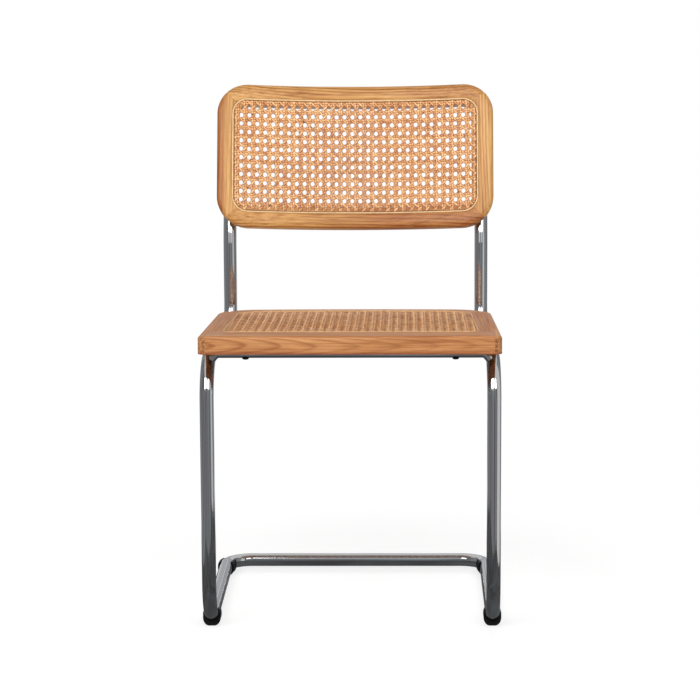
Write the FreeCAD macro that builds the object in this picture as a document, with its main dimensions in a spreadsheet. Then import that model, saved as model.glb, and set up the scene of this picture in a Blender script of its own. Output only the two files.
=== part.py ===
import FreeCAD, Part
import math
import os

from FreeCAD import Placement, Rotation, Vector

# Cantilever dining chair: one bent chrome tube carries a caned wooden seat and a caned, curved backrest.
# Lengths are in millimetres and angles in degrees. +Z is up and the chair faces -Y.
# The origin lies on the floor, midway between the seat's front edge and the backrest's rear edge.

doc = FreeCAD.newDocument("cantilever_chair")


# Driving dimensions

DRIVING = (
    ("tube_diameter", 22.0, "outside diameter of the chrome frame tube"),
    ("tube_wall", 1.5, "wall of the frame tube"),
    ("leg_spacing", 440.0, "between the two front legs, tube centre to tube centre"),
    ("upright_spacing", 422.0, "between the two back uprights, centre to centre"),
    ("runner_length", 421.0, "front leg centre to rear floor bar centre"),
    ("upright_setback", 436.0, "front leg centre to upright centre"),
    ("leg_bend_radius", 64.0, "centre line radius at the top and foot of a leg"),
    ("floor_corner_radius", 44.0, "centre line radius where runner meets rear bar"),
    ("seat_bend_radius", 45.0, "centre line radius where seat rail turns up"),
    ("lean_bend_radius", 150.0, "centre line radius of the upright's backward bend"),
    ("lean_bend_height", 566.0, "height of the corner of that bend"),
    ("back_lean", 16.5, "backward lean of backrest and upper uprights"),
    ("upright_top_setback", 38.0, "upright end below the backrest's top edge"),
    ("joint_gap", 0.2, "gap between the two half frames in the rear bar"),
    ("sleeve_length", 90.0, "connector sleeve inside the rear bar"),
    ("sleeve_wall", 2.0, "wall of the connector sleeve"),
    ("slide_clearance", 0.1, "radial clearance of a part inside a tube"),
    ("fit_gap", 0.2, "gap between tube and wood"),
    ("glide_sole", 5.0, "plastic under the tube at a glide"),
    ("glide_wall", 3.0, "plastic beside the tube at a glide"),
    ("glide_length", 28.0, "length of a glide along the bend that it clips round"),
    ("glide_rise", 6.0, "how far a glide's arms rise above the tube's centre"),
    ("glide_sole_width", 18.0, "flat width of a glide on the floor"),
    ("glide_channel", 8.0, "width of the channel in a glide, under the tube"),
    ("glide_channel_depth", 1.0, "depth of that channel below the tube"),
    ("glide_flats", 5.0, "flats up each side of a glide, inside and outside"),
    ("glide_peg", 6.0, "diameter of the peg that snaps into the tube"),
    ("plug_cap", 2.5, "thickness of an upright end plug's cap"),
    ("plug_spigot", 14.0, "length of an end plug inside the tube"),
    ("brace_diameter", 12.0, "cross brace under the seat's front rail"),
    ("brace_setback", 30.0, "front leg centre to brace centre"),
    ("brace_straight", 413.0, "length of the brace between its bent ends"),
    ("brace_drop", 9.5, "drop of the brace's ends down to the legs"),
    ("brace_slope", 50.0, "slope of the brace's ends in degrees"),
    ("brace_bend_radius", 9.0, "centre line radius of the brace's bends"),
    ("brace_screw_spacing", 323.0, "between the two brace screws"),
    ("seat_height", 470.0, "top of the seat's front edge above the floor"),
    ("seat_pitch", 2.4, "fall of the seat towards the back"),
    ("seat_width", 462.0, "seat width at the front"),
    ("seat_rear_width", 449.0, "seat width at the back"),
    ("seat_depth", 427.0, "seat depth on its centre line"),
    ("seat_thickness", 28.0, "thickness of the seat rails"),
    ("seat_overhang", 32.0, "seat front edge ahead of the front leg centre"),
    ("seat_rear_bow", 10.0, "bow of the seat's rear edge"),
    ("seat_front_corner", 12.0, "plan radius of the seat's front corners"),
    ("seat_rear_corner", 70.0, "plan radius of the seat's rear corners"),
    ("seat_top_round", 5.0, "rounding of the seat's top edge"),
    ("seat_foot_round", 1.0, "rounding of the seat's bottom edge"),
    ("front_band", 65.0, "seat front edge to the spline's centre"),
    ("side_band", 34.0, "seat side edge to the spline's centre"),
    ("rear_band", 33.0, "seat rear edge to the spline's centre"),
    ("seat_window_corner", 13.0, "front corner radius of the seat's spline"),
    ("seat_window_rear_corner", 42.0, "rear corner radius of the seat's spline"),
    ("finger_layers", 8.0, "alternate fingers through the seat's thickness"),
    ("finger_depth", 11.0, "width of a front finger seen from the front"),
    ("finger_reach", 38.0, "length of the front fingers along the side"),
    ("rear_finger_length", 14.0, "length of the rear fingers"),
    ("back_width", 463.0, "backrest width across its chord"),
    ("back_height", 245.0, "backrest height along its slope"),
    ("back_thickness", 24.0, "thickness of the backrest frame"),
    ("back_radius", 935.0, "plan radius of the backrest's front face"),
    ("back_centre_height", 701.0, "height of the backrest's middle"),
    ("back_corner", 52.0, "corner radius of the backrest"),
    ("back_front_round", 10.0, "rounding of the backrest's front edge"),
    ("back_rear_round", 9.0, "rounding of the backrest's rear edge"),
    ("back_band", 31.0, "backrest edge to the spline's centre"),
    ("spline_width", 3.8, "width of the reed spline"),
    ("spline_crown", 0.9, "height of the spline above the wood"),
    ("spline_depth", 5.2, "depth of the spline in its groove"),
    ("groove_depth", 6.2, "depth of the spline groove"),
    ("spline_gap", 0.1, "gap each side of the spline"),
    ("cane_thickness", 1.6, "thickness of the cane webbing"),
    ("cane_tail", 1.2, "cane tucked down beside the spline"),
    ("lip_width", 5.0, "spline centre to the open window"),
    ("seat_net_columns", 10.0, "gaps across the seat's net"),
    ("seat_net_rows", 8.0, "gaps along the seat's net"),
    ("back_net_columns", 16.0, "gaps across the backrest's net"),
    ("back_net_rows", 8.0, "gaps up the backrest's net"),
    ("net_opening", 0.45, "gap width as a share of the pitch"),
    ("screw_diameter", 5.0, "shank of every screw"),
    ("screw_clearance", 0.25, "radial clearance of a screw in the metal"),
    ("screw_head", 10.5, "head diameter of a screw"),
    ("screw_head_height", 2.4, "head height of a screw"),
    ("screw_grip", 15.0, "length of screw inside the wood"),
    ("front_seat_screw", 150.0, "seat front edge to the front screw of a side"),
    ("rear_seat_screw", 312.0, "seat front edge to the rear screw of a side"),
    ("back_screw_spacing", 130.0, "between the two screws of an upright"),
    ("dowel_diameter", 6.0, "dowel in a mitre of the backrest"),
    ("dowel_length", 26.0, "length of that dowel"),
    ("dowel_pitch", 17.0, "between the two dowels of a mitre"),
    ("dowel_depth", 15.5, "dowel centre behind the backrest's front face"),
)

sheet = doc.addObject("Spreadsheet::Sheet", "Sizes")
for row, (alias, value, note) in enumerate(DRIVING, 1):
    sheet.set("A%d" % row, note)
    sheet.set("B%d" % row, str(value))
    sheet.setAlias("B%d" % row, alias)
doc.recompute()


def size(alias):
    """The value of a cell of the sheet."""
    return float(sheet.get(alias))


# Shared places, worked out from the driving dimensions

TUBE = size("tube_diameter") / 2
BORE = TUBE - size("tube_wall")
PITCH = math.radians(size("seat_pitch"))
LEAN = math.radians(size("back_lean"))
UP_BACK = Vector(0, math.sin(LEAN), math.cos(LEAN))
BACK_FACING = Vector(0, -math.cos(LEAN), math.sin(LEAN))
SEAT_REAR = size("seat_depth") - size("seat_rear_bow")
RAIL_LEVEL = size("seat_thickness") + size("fit_gap") + TUBE
FLOOR_AXIS = size("glide_sole") + TUBE
SCREW_HOLE = size("screw_diameter") / 2 + size("screw_clearance")
OVERSHOOT = 1.0

# Across the tube's axis, the backrest's rear face is tangent to both uprights.
back_reach = size("back_radius") + size("back_thickness") + size("fit_gap") + TUBE
UPRIGHT_DEPTH = size("back_radius") - math.sqrt(back_reach ** 2 - (size("upright_spacing") / 2) ** 2)
back_rise = size("back_centre_height") - size("lean_bend_height") + UPRIGHT_DEPTH * math.sin(LEAN)
BACK_SLANT = back_rise / math.cos(LEAN)


def back_centre_from_leg():
    """Middle of the backrest's front face, with the front leg's axis at Y = 0."""
    bend = Vector(0, size("upright_setback"), size("lean_bend_height"))
    return bend + UP_BACK * BACK_SLANT - BACK_FACING * UPRIGHT_DEPTH


def leg_line():
    """Y of the front legs, so that the origin is midway between the chair's front and rear."""
    front = -size("seat_overhang") - size("seat_thickness") * math.sin(PITCH)
    edge = size("back_rear_round")
    rear = back_centre_from_leg().y + edge
    rear += (size("back_height") / 2 - edge) * math.sin(LEAN)
    rear += (size("back_thickness") - edge) * math.cos(LEAN)
    return -(front + rear) / 2


LEG_Y = leg_line()
UPRIGHT_Y = LEG_Y + size("upright_setback")
SEAT_ORIGIN = Vector(0, LEG_Y - size("seat_overhang"), size("seat_height"))
SEAT_PLACE = Placement(SEAT_ORIGIN, Rotation(Vector(1, 0, 0), -size("seat_pitch")))
BACK_PLACE = Placement(
    back_centre_from_leg() + Vector(0, LEG_Y, 0),
    Rotation(Vector(1, 0, 0), 90 - size("back_lean")),
)


def below_seat(across, world_y, depth):
    """The point at a depth under the seat's top face, above or below a place on the floor."""
    along = (world_y - SEAT_ORIGIN.y + depth * math.sin(PITCH)) / math.cos(PITCH)
    return SEAT_PLACE.multVec(Vector(across, along, -depth))


def feature(name, shape, place=None):
    """A sub-part whose shape is set in code, with its Placement set after its Shape."""
    piece = doc.addObject("Part::Feature", name)
    piece.Label = name
    piece.Shape = shape
    if place is not None:
        piece.Placement = place
    return piece


def mirrored(name, source):
    """The right-hand twin of a left-hand piece."""
    twin = doc.addObject("Part::Mirroring", name)
    twin.Label = name
    twin.Source = source
    twin.Normal = Vector(1, 0, 0)
    twin.Base = Vector(0, 0, 0)
    return twin


# Frame tube: straight runs joined by tangent bends

def rounded_path(corners, radii):
    """A wire along the corners, each inner corner turned by an arc of its radius."""
    edges = []
    start = corners[0]
    for before, corner, after, radius in zip(corners, corners[1:], corners[2:], radii):
        into = (corner - before).normalize()
        out = (after - corner).normalize()
        turn = into.getAngle(out)
        setback = radius * math.tan(turn / 2)
        inward = (out - into).normalize()
        centre = corner + inward * (radius / math.cos(turn / 2))
        entry = corner - into * setback
        leave = corner + out * setback
        edges.append(Part.LineSegment(start, entry).toShape())
        edges.append(Part.Arc(entry, centre - inward * radius, leave).toShape())
        start = leave
    edges.append(Part.LineSegment(start, corners[-1]).toShape())
    return Part.Wire(edges)


def pipe(path, radius):
    """A round solid bar along a path."""
    first = path.Edges[0]
    start = first.valueAt(first.FirstParameter)
    heading = first.tangentAt(first.FirstParameter)
    ring = Part.Wire(Part.makeCircle(radius, start, heading))
    return path.makePipeShell([ring], True, False)


def left_frame_path():
    """Centre line of the left half: rear bar, runner, leg, seat rail and upright."""
    leg_x = -size("leg_spacing") / 2
    upright_x = -size("upright_spacing") / 2
    rear_y = LEG_Y + size("runner_length")
    bend = Vector(upright_x, UPRIGHT_Y, size("lean_bend_height"))
    top = BACK_SLANT + size("back_height") / 2 - size("upright_top_setback")
    corners = (
        Vector(-size("joint_gap") / 2, rear_y, FLOOR_AXIS),
        Vector(leg_x, rear_y, FLOOR_AXIS),
        Vector(leg_x, LEG_Y, FLOOR_AXIS),
        below_seat(leg_x, LEG_Y, RAIL_LEVEL),
        below_seat(upright_x, UPRIGHT_Y, RAIL_LEVEL),
        bend,
        bend + UP_BACK * top,
    )
    radii = (
        size("floor_corner_radius"),
        size("leg_bend_radius"),
        size("leg_bend_radius"),
        size("seat_bend_radius"),
        size("lean_bend_radius"),
    )
    return rounded_path(corners, radii)


FRAME_PATH = left_frame_path()
FLOOR_CORNER = FRAME_PATH.Edges[1]
LOWER_LEG_BEND = FRAME_PATH.Edges[3]
FRAME_BAR = pipe(FRAME_PATH, TUBE)


def rail_x(world_y):
    """How far from the middle a seat rail's centre is at a place along it."""
    share = (world_y - LEG_Y) / size("upright_setback")
    return size("leg_spacing") / 2 * (1 - share) + size("upright_spacing") / 2 * share


def hole(start, heading, radius, length):
    """A round cutter that begins at a point and runs along a heading."""
    return Part.makeCylinder(radius, length, start, heading)


# Screw places: each is the point where the axis leaves the wood, with the heading into the wood

SEAT_UP = SEAT_PLACE.Rotation.multVec(Vector(0, 0, 1))


def seat_screw_points(side):
    """Two places on the underside of a side rail, over the tube's centre line."""
    points = []
    for alias in ("front_seat_screw", "rear_seat_screw"):
        level = SEAT_PLACE.multVec(Vector(0, size(alias), -size("seat_thickness")))
        rail = below_seat(side * rail_x(level.y), level.y, size("seat_thickness"))
        points.append(rail)
    return points


def brace_screw_points():
    """Two places on the underside of the front rail, over the brace."""
    across = size("brace_screw_spacing") / 2
    y = LEG_Y + size("brace_setback")
    return [below_seat(side * across, y, size("seat_thickness")) for side in (-1, 1)]


def back_screw_points(side):
    """Two places on the backrest's rear face in front of an upright's centre line."""
    across = size("upright_spacing") / 2
    rear = size("back_radius") + size("back_thickness")
    depth = size("back_radius") - math.sqrt(rear ** 2 - across ** 2)
    half = size("back_screw_spacing") / 2
    return [BACK_PLACE.multVec(Vector(side * across, up, depth)) for up in (-half, half)]


def tube_standoff():
    """From the backrest's rear face to the upright's centre, along a screw."""
    across = size("upright_spacing") / 2
    rear = size("back_radius") + size("back_thickness")
    depth = size("back_radius") - math.sqrt(rear ** 2 - across ** 2)
    return depth - UPRIGHT_DEPTH


def glide_angle(bend):
    """How much of a bend a glide covers, in radians."""
    return size("glide_length") / bend.Curve.Radius


def glide_peg_centres():
    """Points of the tube's centre line over the front and the rear peg, halfway along each glide."""
    front = LOWER_LEG_BEND.valueAt(LOWER_LEG_BEND.FirstParameter + glide_angle(LOWER_LEG_BEND) / 2)
    rear = FLOOR_CORNER.valueAt(FLOOR_CORNER.LastParameter - glide_angle(FLOOR_CORNER) / 2)
    return front, rear


def left_half_frame():
    """The bent tube, bored out and drilled for screws and glide pegs."""
    tube = FRAME_BAR.cut(pipe(FRAME_PATH, BORE))
    through = size("tube_diameter") + 2 * OVERSHOOT
    drills = []
    for point in seat_screw_points(-1):
        drills.append(hole(point - SEAT_UP * (through + OVERSHOOT), SEAT_UP, SCREW_HOLE, through + OVERSHOOT))
    for point in back_screw_points(-1):
        start = point - BACK_FACING * (tube_standoff() + TUBE + OVERSHOOT)
        drills.append(hole(start, BACK_FACING, SCREW_HOLE, through))
    for centre in glide_peg_centres():
        peg_hole = size("glide_peg") / 2 + size("slide_clearance")
        drills.append(hole(centre, Vector(0, 0, -1), peg_hole, TUBE + 2 * OVERSHOOT))
    return tube.cut(drills)


frame_left = feature("frame_tube_left", left_half_frame())
frame_right = mirrored("frame_tube_right", frame_left)


def bound(kind, name, **expressions):
    """A primitive of the document whose sizes are bound to the sheet."""
    solid = doc.addObject(kind, name)
    for prop, text in expressions.items():
        solid.setExpression(prop, text)
    return solid


def boolean(kind, name, base, tool):
    """A boolean of two objects of the document."""
    result = doc.addObject(kind, name)
    result.Label = name
    result.Base = base
    result.Tool = tool
    return result


# Connector sleeve in the middle of the rear floor bar

sleeve_fit = "Sizes.tube_diameter / 2 - Sizes.tube_wall - Sizes.slide_clearance"
sleeve_bar = bound("Part::Cylinder", "sleeve_bar", Radius=sleeve_fit, Height="Sizes.sleeve_length")
sleeve_bore = bound(
    "Part::Cylinder",
    "sleeve_bore",
    Radius=sleeve_fit + " - Sizes.sleeve_wall",
    Height="Sizes.sleeve_length",
)
sleeve = boolean("Part::Cut", "rear_bar_sleeve", sleeve_bar, sleeve_bore)
sleeve.Placement = Placement(
    Vector(-size("sleeve_length") / 2, LEG_Y + size("runner_length"), FLOOR_AXIS),
    Rotation(Vector(0, 1, 0), 90),
)


# Upright end plugs: a domed cap with a spigot in the tube's bore

plug_cap = bound("Part::Cylinder", "plug_cap", Radius="Sizes.tube_diameter / 2", Height="Sizes.plug_cap")
plug_spigot = bound("Part::Cylinder", "plug_spigot", Radius=sleeve_fit, Height="Sizes.plug_spigot")
plug_spigot.setExpression("Placement.Base.z", "-Sizes.plug_spigot")
plug_left = boolean("Part::Fuse", "upright_plug_left", plug_cap, plug_spigot)
plug_left.Placement = Placement(
    FRAME_PATH.Edges[-1].valueAt(FRAME_PATH.Edges[-1].LastParameter),
    Rotation(Vector(0, 0, 1), UP_BACK),
)
plug_right = mirrored("upright_plug_right", plug_left)


# Glides: one section turned round the start of a bend, with a peg that snaps into the tube

GLIDE_OUTER = TUBE + size("glide_wall")
SOLE_ANGLE = math.acos(size("glide_sole_width") / 2 / GLIDE_OUTER)


def glide_section(centre, foot):
    """A C of flats round the tube, with a sole down to a foot level and a channel under the tube."""
    inner = TUBE + size("slide_clearance")
    tip = math.asin(2 * size("glide_rise") / (GLIDE_OUTER + inner))
    channel = size("glide_channel") / 2
    channel_angle = math.acos(channel / inner)
    flats = int(size("glide_flats"))
    outer_step = (tip + SOLE_ANGLE) / flats
    inner_step = (tip + channel_angle) / flats
    flat_corner = inner / math.cos(inner_step / 2)

    def around(radius, angle):
        return radius * math.cos(angle), radius * math.sin(angle)

    half = [(size("glide_sole_width") / 2, foot)]
    half += [around(GLIDE_OUTER, step * outer_step - SOLE_ANGLE) for step in range(flats + 1)]
    half += [around(flat_corner, tip - step * inner_step) for step in range(flats + 1)]
    half.append((channel, -TUBE - size("glide_channel_depth")))
    whole = half + [(-x, z) for x, z in reversed(half)]
    points = [centre + Vector(x, 0, z) for x, z in whole]
    return Part.Face(Part.makePolygon(points + points[:1]))


def with_peg(body, peg_centre):
    """A glide's body with the peg that stands in the tube's hole."""
    base = Vector(peg_centre.x, peg_centre.y, size("glide_sole") / 2)
    top = peg_centre.z - BORE + OVERSHOOT
    peg = Part.makeCylinder(size("glide_peg") / 2, top - base.z, base)
    return body.fuse(peg).removeSplitter()


def front_glide():
    """The clip turns up with the leg's lower bend; the sole under it is flat, with an upright front end."""
    runner_end = LOWER_LEG_BEND.valueAt(LOWER_LEG_BEND.FirstParameter)
    angle = glide_angle(LOWER_LEG_BEND)
    centre = LOWER_LEG_BEND.Curve.Center
    radius = LOWER_LEG_BEND.Curve.Radius
    section = glide_section(runner_end, radius - centre.z / math.cos(angle))
    body = section.revolve(centre, Vector(-1, 0, 0), math.degrees(angle))
    length = (radius + GLIDE_OUTER * math.sin(SOLE_ANGLE)) * math.sin(angle)
    corner = Vector(centre.x - GLIDE_OUTER, centre.y - length, 0)
    body = body.common(Part.makeBox(2 * GLIDE_OUTER, length, centre.z, corner))
    return with_peg(body, glide_peg_centres()[0])


def rear_glide():
    """The clip and its sole turn round the floor corner."""
    section = glide_section(FLOOR_CORNER.valueAt(FLOOR_CORNER.LastParameter), -FLOOR_AXIS)
    angle = math.degrees(glide_angle(FLOOR_CORNER))
    body = section.revolve(FLOOR_CORNER.Curve.Center, Vector(0, 0, -1), angle)
    return with_peg(body, glide_peg_centres()[1])


front_glide_left = feature("front_glide_left", front_glide())
rear_glide_left = feature("rear_glide_left", rear_glide())
front_glide_right = mirrored("front_glide_right", front_glide_left)
rear_glide_right = mirrored("rear_glide_right", rear_glide_left)


# Cross brace under the front rail, its ends bent down and coped onto both leg bends

def cross_brace():
    """A round bar between the two legs, drilled for its screws."""
    radius = size("brace_diameter") / 2
    y = LEG_Y + size("brace_setback")
    level = size("seat_thickness") + size("fit_gap") + radius
    bend_x = size("brace_straight") / 2
    end_x = bend_x + size("brace_drop") / math.tan(math.radians(size("brace_slope")))
    corners = (
        below_seat(-end_x, y, level + size("brace_drop")),
        below_seat(-bend_x, y, level),
        below_seat(bend_x, y, level),
        below_seat(end_x, y, level + size("brace_drop")),
    )
    bar = pipe(rounded_path(corners, (size("brace_bend_radius"), size("brace_bend_radius"))), radius)
    bar = bar.cut([FRAME_BAR, FRAME_BAR.mirror(Vector(), Vector(1, 0, 0))])
    reach = size("fit_gap") + size("brace_diameter") + OVERSHOOT
    drills = [hole(point - SEAT_UP * reach, SEAT_UP, SCREW_HOLE, reach) for point in brace_screw_points()]
    return bar.cut(drills)


brace = feature("cross_brace", cross_brace())


# Wooden frames: a seat that lies flat and a backrest that is part of a cylinder.
# Both are cut from layers that follow their front face, so that depths are measured from that face.

def rounded(solid, radius, wanted):
    """A solid with the edges that pass a test rounded."""
    return solid.makeFillet(radius, [edge for edge in solid.Edges if wanted(edge)])


def is_upright(edge):
    """True for an edge along the direction in which an outline is extruded."""
    return edge.Curve.TypeId == "Part::GeomLine" and abs(edge.Curve.Direction.z) > 0.999


def column(outline, low, high, near_round, far_round):
    """A block over an outline, its upright edges rounded by one radius each side of the middle."""
    block = Part.Face(outline).extrude(Vector(0, 0, high - low))
    block.translate(Vector(0, 0, low))
    middle = block.BoundBox.Center.y
    block = rounded(block, near_round, lambda edge: is_upright(edge) and edge.CenterOfMass.y < middle)
    return rounded(block, far_round, lambda edge: is_upright(edge) and edge.CenterOfMass.y > middle)


def seat_half_width(along):
    """Half the seat's width at a distance from its front edge."""
    front = size("seat_width") / 2
    return front + (size("seat_rear_width") / 2 - front) * along / SEAT_REAR


def seat_loop(front, side, rear):
    """A closed plan line inside the seat's outline, with sharp corners and the bowed rear edge."""
    back = SEAT_REAR - rear
    near = seat_half_width(front) - side
    far = seat_half_width(back) - side
    corners = (Vector(-near, front, 0), Vector(near, front, 0), Vector(far, back, 0), Vector(-far, back, 0))
    return Part.Wire([
        Part.LineSegment(corners[0], corners[1]).toShape(),
        Part.LineSegment(corners[1], corners[2]).toShape(),
        Part.Arc(corners[2], Vector(0, size("seat_depth") - rear, 0), corners[3]).toShape(),
        Part.LineSegment(corners[3], corners[0]).toShape(),
    ])


def seat_column(inset, low, high):
    """A block over the seat's window, larger or smaller than the spline's centre line by an inset."""
    outline = seat_loop(
        size("front_band") + inset,
        size("side_band") + inset,
        size("rear_band") + inset,
    )
    near = size("seat_window_corner") - inset
    return column(outline, low, high, near, size("seat_window_rear_corner") - inset)


def seat_layer(top, bottom):
    """The slab of the seat between two depths."""
    width = size("seat_width")
    corner = Vector(-width, -width, -bottom)
    return Part.makeBox(2 * width, 3 * width, bottom - top, corner)


BACK_SAG = size("back_radius") - math.sqrt(size("back_radius") ** 2 - (size("back_width") / 2) ** 2)
BACK_LOW = -size("back_thickness") - OVERSHOOT
BACK_HIGH = BACK_SAG + size("spline_crown") + OVERSHOOT


def back_loop(inset):
    """A rectangle inside the backrest's outline."""
    across = size("back_width") / 2 - inset
    up = size("back_height") / 2 - inset
    corners = [Vector(x * across, y * up, 0) for x, y in ((-1, -1), (1, -1), (1, 1), (-1, 1))]
    return Part.makePolygon(corners + corners[:1])


def back_column(inset, low=BACK_LOW, high=BACK_HIGH):
    """A block over the backrest's outline, smaller by an inset, with its corners rounded."""
    corner = size("back_corner") - inset
    return column(back_loop(inset), low, high, corner, corner)


def back_arc(depth, turn):
    """Plan line of the backrest at a depth behind its front face."""
    radius = size("back_radius") + depth
    height = -size("back_height")
    angles = (-turn, 0, turn)
    points = [
        Vector(radius * math.sin(angle), height, size("back_radius") - radius * math.cos(angle))
        for angle in angles
    ]
    return Part.Arc(*points).toShape()


def back_layer(top, bottom):
    """The curved slab of the backrest between two depths."""
    turn = math.asin(size("back_width") / 2 / size("back_radius")) * 1.1
    outer = back_arc(bottom, turn)
    inner = back_arc(top, turn)
    ends = [
        Part.LineSegment(outer.Vertexes[i].Point, inner.Vertexes[i].Point).toShape() for i in (0, 1)
    ]
    face = Part.Face(Part.Wire(Part.__sortEdges__([outer, inner] + ends)))
    return face.extrude(Vector(0, 2 * size("back_height"), 0))


WEAVE_EDGE = size("spline_width") / 2 + size("spline_gap")
GROOVE_INNER = WEAVE_EDGE + size("cane_tail")


def caned_frame(blank, window, layer):
    """A wooden blank with its window, its spline groove and the low lip that the cane lies on."""
    groove = window(-WEAVE_EDGE).cut(window(GROOVE_INNER)).common(layer(-OVERSHOOT, size("groove_depth")))
    lip = window(0).common(layer(-OVERSHOOT, size("cane_thickness")))
    return blank.cut([window(size("lip_width")), groove, lip])


def cane_sheet(window, layer, gaps):
    """The webbing: a sheet over the window, its tail tucked into the groove and its gaps cut out."""
    sheet_part = window(WEAVE_EDGE).common(layer(0, size("cane_thickness")))
    tail = window(WEAVE_EDGE).cut(window(GROOVE_INNER))
    tail = tail.common(layer(0, size("groove_depth") - size("spline_gap")))
    return sheet_part.fuse(tail).cut(gaps)


def reed_spline(window, layer):
    """The reed pressed into the groove over the cane's tail."""
    half = size("spline_width") / 2
    ring = window(-half).cut(window(half))
    return ring.common(layer(-size("spline_crown"), size("spline_depth")))


def gap_block(x, y, width, height, low, high):
    """One gap of a net, cut right through."""
    return Part.makeBox(width, height, high - low, Vector(x - width / 2, y - height / 2, low))


def drilled(frame, places, into):
    """A frame with a blind pilot hole at each place, in the frame's own axes."""
    depth = size("screw_grip") + size("slide_clearance")
    radius = size("screw_diameter") / 2 + size("slide_clearance")
    return frame.cut([hole(place - into * OVERSHOOT, into, radius, depth + OVERSHOOT) for place in places])


# Seat

SEAT_LOW = -size("seat_thickness")


def seat_window(inset):
    """The seat's window column through its whole thickness."""
    return seat_column(inset, SEAT_LOW - OVERSHOOT, size("spline_crown") + OVERSHOOT)


def seat_blank():
    """The seat's outline as one rounded board, before it is cut into rails."""
    board = column(seat_loop(0, 0, 0), SEAT_LOW, 0, size("seat_front_corner"), size("seat_rear_corner"))
    board = rounded(board, size("seat_top_round"), lambda edge: edge.BoundBox.ZMin > -0.01)
    return rounded(board, size("seat_foot_round"), lambda edge: edge.BoundBox.ZMax < SEAT_LOW + 0.01)


def to_seat(points):
    """World points in the seat's own axes."""
    return [SEAT_PLACE.inverse().multVec(point) for point in points]


def seat_frame():
    """All four rails in one piece."""
    frame = caned_frame(seat_blank(), seat_window, seat_layer)
    screws = seat_screw_points(-1) + seat_screw_points(1) + brace_screw_points()
    return drilled(frame, to_seat(screws), Vector(0, 0, 1))


def finger_steps(lower):
    """The bottom of each finger, counted from the underside: the even ones, or the odd ones."""
    count = int(size("finger_layers"))
    thick = size("seat_thickness") / count
    return [(SEAT_LOW + step * thick, thick) for step in range(0 if lower else 1, count, 2)]


def front_fingers(side, lower):
    """The front corner's alternate layers on one side of the seat."""
    inner = size("seat_width") / 2 - size("finger_depth")
    x = inner if side > 0 else -inner - size("finger_depth") - OVERSHOOT
    return [
        Part.makeBox(size("finger_depth") + OVERSHOOT, size("finger_reach"), thick, Vector(x, 0, z))
        for z, thick in finger_steps(lower)
    ]


REAR_JOINT = size("seat_depth") - size("seat_rear_corner") - size("seat_rear_bow") - size("rear_finger_length")


def rear_fingers(lower):
    """The alternate layers between side rails and rear rail."""
    width = size("seat_width") + 2 * OVERSHOOT
    return [
        Part.makeBox(width, size("rear_finger_length"), thick, Vector(-width / 2, REAR_JOINT, z))
        for z, thick in finger_steps(lower)
    ]


FRONT_JOINT = size("front_band") + size("lip_width")


def seat_zone(low_x, high_x, low_y, high_y):
    """A block through the seat's thickness."""
    corner = Vector(low_x, low_y, SEAT_LOW)
    return Part.makeBox(high_x - low_x, high_y - low_y, size("seat_thickness"), corner)


def front_rail_zone():
    """What belongs to the front rail: its bar and its fingers at both ends."""
    half = size("seat_width") / 2
    inner = half - size("finger_depth")
    bar = seat_zone(-inner, inner, 0, FRONT_JOINT)
    return bar.fuse(front_fingers(-1, True) + front_fingers(1, True)).removeSplitter()


def rear_rail_zone():
    """What belongs to the rear rail: the rounded end of the seat and its fingers."""
    half = size("seat_width") / 2
    bar = seat_zone(-half, half, REAR_JOINT + size("rear_finger_length"), size("seat_depth") + OVERSHOOT)
    return bar.fuse(rear_fingers(True)).removeSplitter()


def left_side_rail(frame):
    """The left side rail: what the front and rear rails leave on that side."""
    half = size("seat_width") / 2
    side = seat_zone(-half, 0, 0, REAR_JOINT + size("rear_finger_length"))
    return side.common(frame).cut([front_rail_zone(), rear_rail_zone()])


whole_seat = seat_frame()
seat_front = feature("seat_front_rail", whole_seat.common(front_rail_zone()), SEAT_PLACE)
seat_rear = feature("seat_rear_rail", whole_seat.common(rear_rail_zone()), SEAT_PLACE)
seat_left = feature("seat_side_rail_left", left_side_rail(whole_seat), SEAT_PLACE)
seat_right = mirrored("seat_side_rail_right", seat_left)


def net_places(columns, rows, low_x, high_x, low_y, high_y):
    """The middle of each gap in a grid that fills a rectangle, with the grid's two pitches."""
    pitch_x = (high_x - low_x) / columns
    pitch_y = (high_y - low_y) / rows
    places = [
        (low_x + (column_no + 0.5) * pitch_x, low_y + (row_no + 0.5) * pitch_y)
        for row_no in range(int(rows))
        for column_no in range(int(columns))
    ]
    return places, pitch_x, pitch_y


def net_gaps(grid, low, high):
    """A cutter for every gap of a net."""
    places, pitch_x, pitch_y = grid
    width = pitch_x * size("net_opening")
    height = pitch_y * size("net_opening")
    return [gap_block(x, y, width, height, low, high) for x, y in places]


def seat_net():
    """The gaps that show in the seat's window."""
    front = FRONT_JOINT
    rear = SEAT_REAR - size("rear_band") - size("lip_width")
    half = seat_half_width(rear) - size("side_band") - size("lip_width")
    grid = net_places(size("seat_net_columns"), size("seat_net_rows"), -half, half, front, rear)
    return net_gaps(grid, -size("cane_thickness") - OVERSHOOT, OVERSHOOT)


seat_cane = feature("seat_cane", cane_sheet(seat_window, seat_layer, seat_net()), SEAT_PLACE)
seat_spline = feature("seat_spline", reed_spline(seat_window, seat_layer), SEAT_PLACE)


# Backrest

def back_window(inset):
    """The backrest's window column, measured from the spline's centre line."""
    return back_column(size("back_band") + inset)


def back_blank():
    """The backrest's curved board with both edges rounded."""
    board = back_column(0).common(back_layer(0, size("back_thickness")))
    front = size("back_radius")
    rear = front + size("back_thickness")

    def on_face(edge, radius):
        middle = edge.valueAt((edge.FirstParameter + edge.LastParameter) / 2)
        return abs(math.hypot(middle.x, middle.z - front) - radius) < 0.01

    board = rounded(board, size("back_front_round"), lambda edge: on_face(edge, front))
    return rounded(board, size("back_rear_round"), lambda edge: on_face(edge, rear))


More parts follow.
